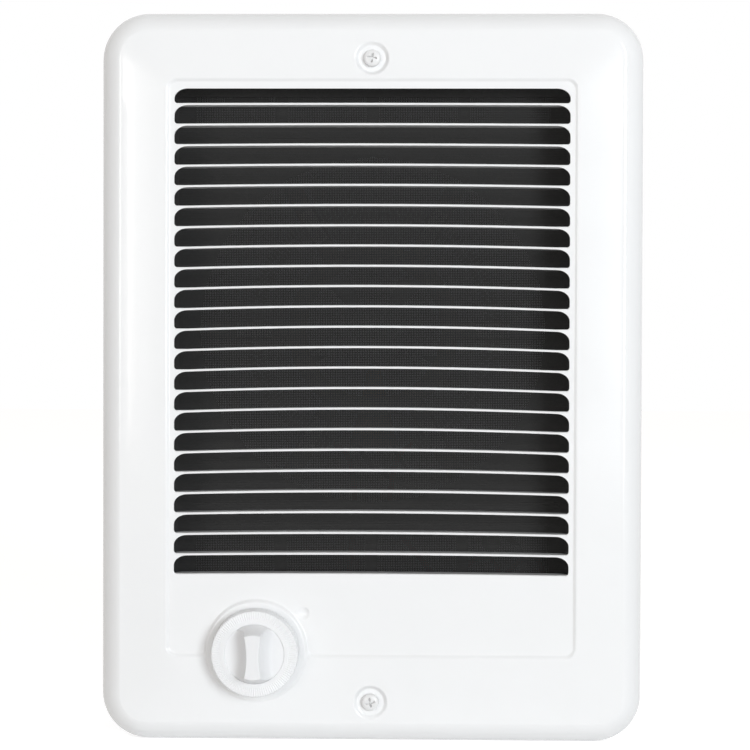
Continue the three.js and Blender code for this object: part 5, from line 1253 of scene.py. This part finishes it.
def make_leads():
    """Each lead as a smooth round wire along the run of its solid."""
    slots = {part["node"]: part["material_slot"] for part in frame["record"]["subparts"]}
    for lead in LEADS:
        node = f"lead_{lead}"
        build = bmesh.new()
        build.from_mesh(frame["nodes"][node].data)
        bmesh.ops.remove_doubles(build, verts=build.verts, dist=0.001 * MM)
        bmesh.ops.join_triangles(build, faces=build.faces, angle_face_threshold=math.radians(40),
                                 angle_shape_threshold=math.radians(60))
        mesh = from_bmesh(node, build)
        shade_smooth(mesh)
        wire = new_object(f"{node}_wire", mesh)
        smoother = wire.modifiers.new("round", "SUBSURF")
        smoother.levels = smoother.render_levels = 2
        dress(applied(wire), "housing", slots[node], node)


# ---- stage, lights, camera ----

FLOOR_Z = GRILLE_LOW[2] - 0.3
FLOOR_GLOW = 0.68
FLOOR_COLOR = (0.8, 0.8, 0.8, 1.0)
WORLD_LIGHT = 0.395
WORLD_TINT = (1.0, 0.965, 0.935, 1.0)


def seen_share(tree):
    """1 for what the camera sees, also in gloss or through glass, and 0 for the light itself."""
    path = add(tree, "ShaderNodeLightPath").outputs
    seen = path["Is Camera Ray"]
    for ray in ("Is Glossy Ray", "Is Transmission Ray"):
        seen = add(tree, "ShaderNodeMath", {0: seen, 1: path[ray]}, operation="MAXIMUM").outputs[0]
    return seen


def stage_material(name, strength):
    """White for the camera and for reflections, an ordinary pale surface for the light."""
    material, tree, _ = node_tree(name)
    tree.nodes.clear()
    amount = add(tree, "ShaderNodeMath", {0: seen_share(tree), 1: strength}, operation="MULTIPLY").outputs[0]
    pale = add(tree, "ShaderNodeBsdfDiffuse", {"Color": FLOOR_COLOR}).outputs[0]
    glow = add(tree, "ShaderNodeEmission", {"Color": (1.0, 1.0, 1.0, 1.0), "Strength": amount}).outputs[0]
    both = add(tree, "ShaderNodeAddShader", {0: pale, 1: glow}).outputs[0]
    add(tree, "ShaderNodeOutputMaterial", {"Surface": both})
    return material


def make_stage():
    build = bmesh.new()
    bmesh.ops.create_grid(build, x_segments=8, y_segments=8, size=4.0)
    floor = new_object("floor", from_bmesh("floor", build))
    floor.location = (0, 0, FLOOR_Z * MM)
    floor.data.materials.append(stage_material("floor_white", FLOOR_GLOW))

    world = bpy.data.worlds.new("studio")
    bpy.context.scene.world = world
    world.use_nodes = True
    tree = world.node_tree
    tree.nodes.clear()
    room = add(tree, "ShaderNodeBackground", {"Color": WORLD_TINT, "Strength": WORLD_LIGHT}).outputs[0]
    white = add(tree, "ShaderNodeBackground", {"Color": (1.0, 1.0, 1.0, 1.0), "Strength": 1.0}).outputs[0]
    sky = add(tree, "ShaderNodeMixShader", {0: seen_share(tree), 1: room, 2: white}).outputs[0]
    add(tree, "ShaderNodeOutputWorld", {"Surface": sky})


def area_light(name, place, aim, size, power, color=(1.0, 1.0, 1.0)):
    data = bpy.data.lights.new(name, "AREA")
    data.shape = "RECTANGLE"
    data.size, data.size_y = size
    data.energy = power
    data.color = color
    lamp = new_object(name, data)
    lamp.location = place
    lamp.rotation_euler = (Vector(aim) - Vector(place)).to_track_quat("-Z", "Y").to_euler()


def make_lights():
    aim = (0, -0.02, 0)
    area_light("key_right", (1.45, -2.6, 0.4), aim, (1.0, 1.2), 51.0, (0.92, 0.965, 1.0))
    area_light("fill_left", (-1.45, -2.6, 0.15), aim, (1.0, 1.2), 19.0, (1.0, 0.96, 0.92))
    area_light("fill_top", (0.1, -2.6, 1.5), aim, (1.2, 0.6), 1.5)


# the camera's place and the picture's plane, fitted to the photograph
CAMERA_PLACE = (0.016, -0.765, 0.0125)
PICTURE_CENTRE = (0.0014, -0.012, 0.0011)
PICTURE_WIDTH = 0.3146
CAMERA_ROLL = math.radians(0.18)
SENSOR_WIDTH = 36.0


def make_camera():
    data = bpy.data.cameras.new("camera")
    camera = new_object("camera", data)
    bpy.context.scene.camera = camera
    direction = Vector(PICTURE_CENTRE) - Vector(CAMERA_PLACE)
    camera.location = CAMERA_PLACE
    turn = direction.to_track_quat("-Z", "Y").to_matrix() @ Matrix.Rotation(CAMERA_ROLL, 3, "Z")
    camera.rotation_euler = turn.to_euler()
    data.sensor_width = SENSOR_WIDTH
    data.lens = SENSOR_WIDTH * direction.length / PICTURE_WIDTH
    data.clip_start = 0.01


make_camera()
make_lights()
make_stage()
finish_cad_nodes()
make_grille()
make_knob()
make_screws()
make_screen()
make_wall_can()
make_coil()
make_fan()
make_leads()
make_shroud()
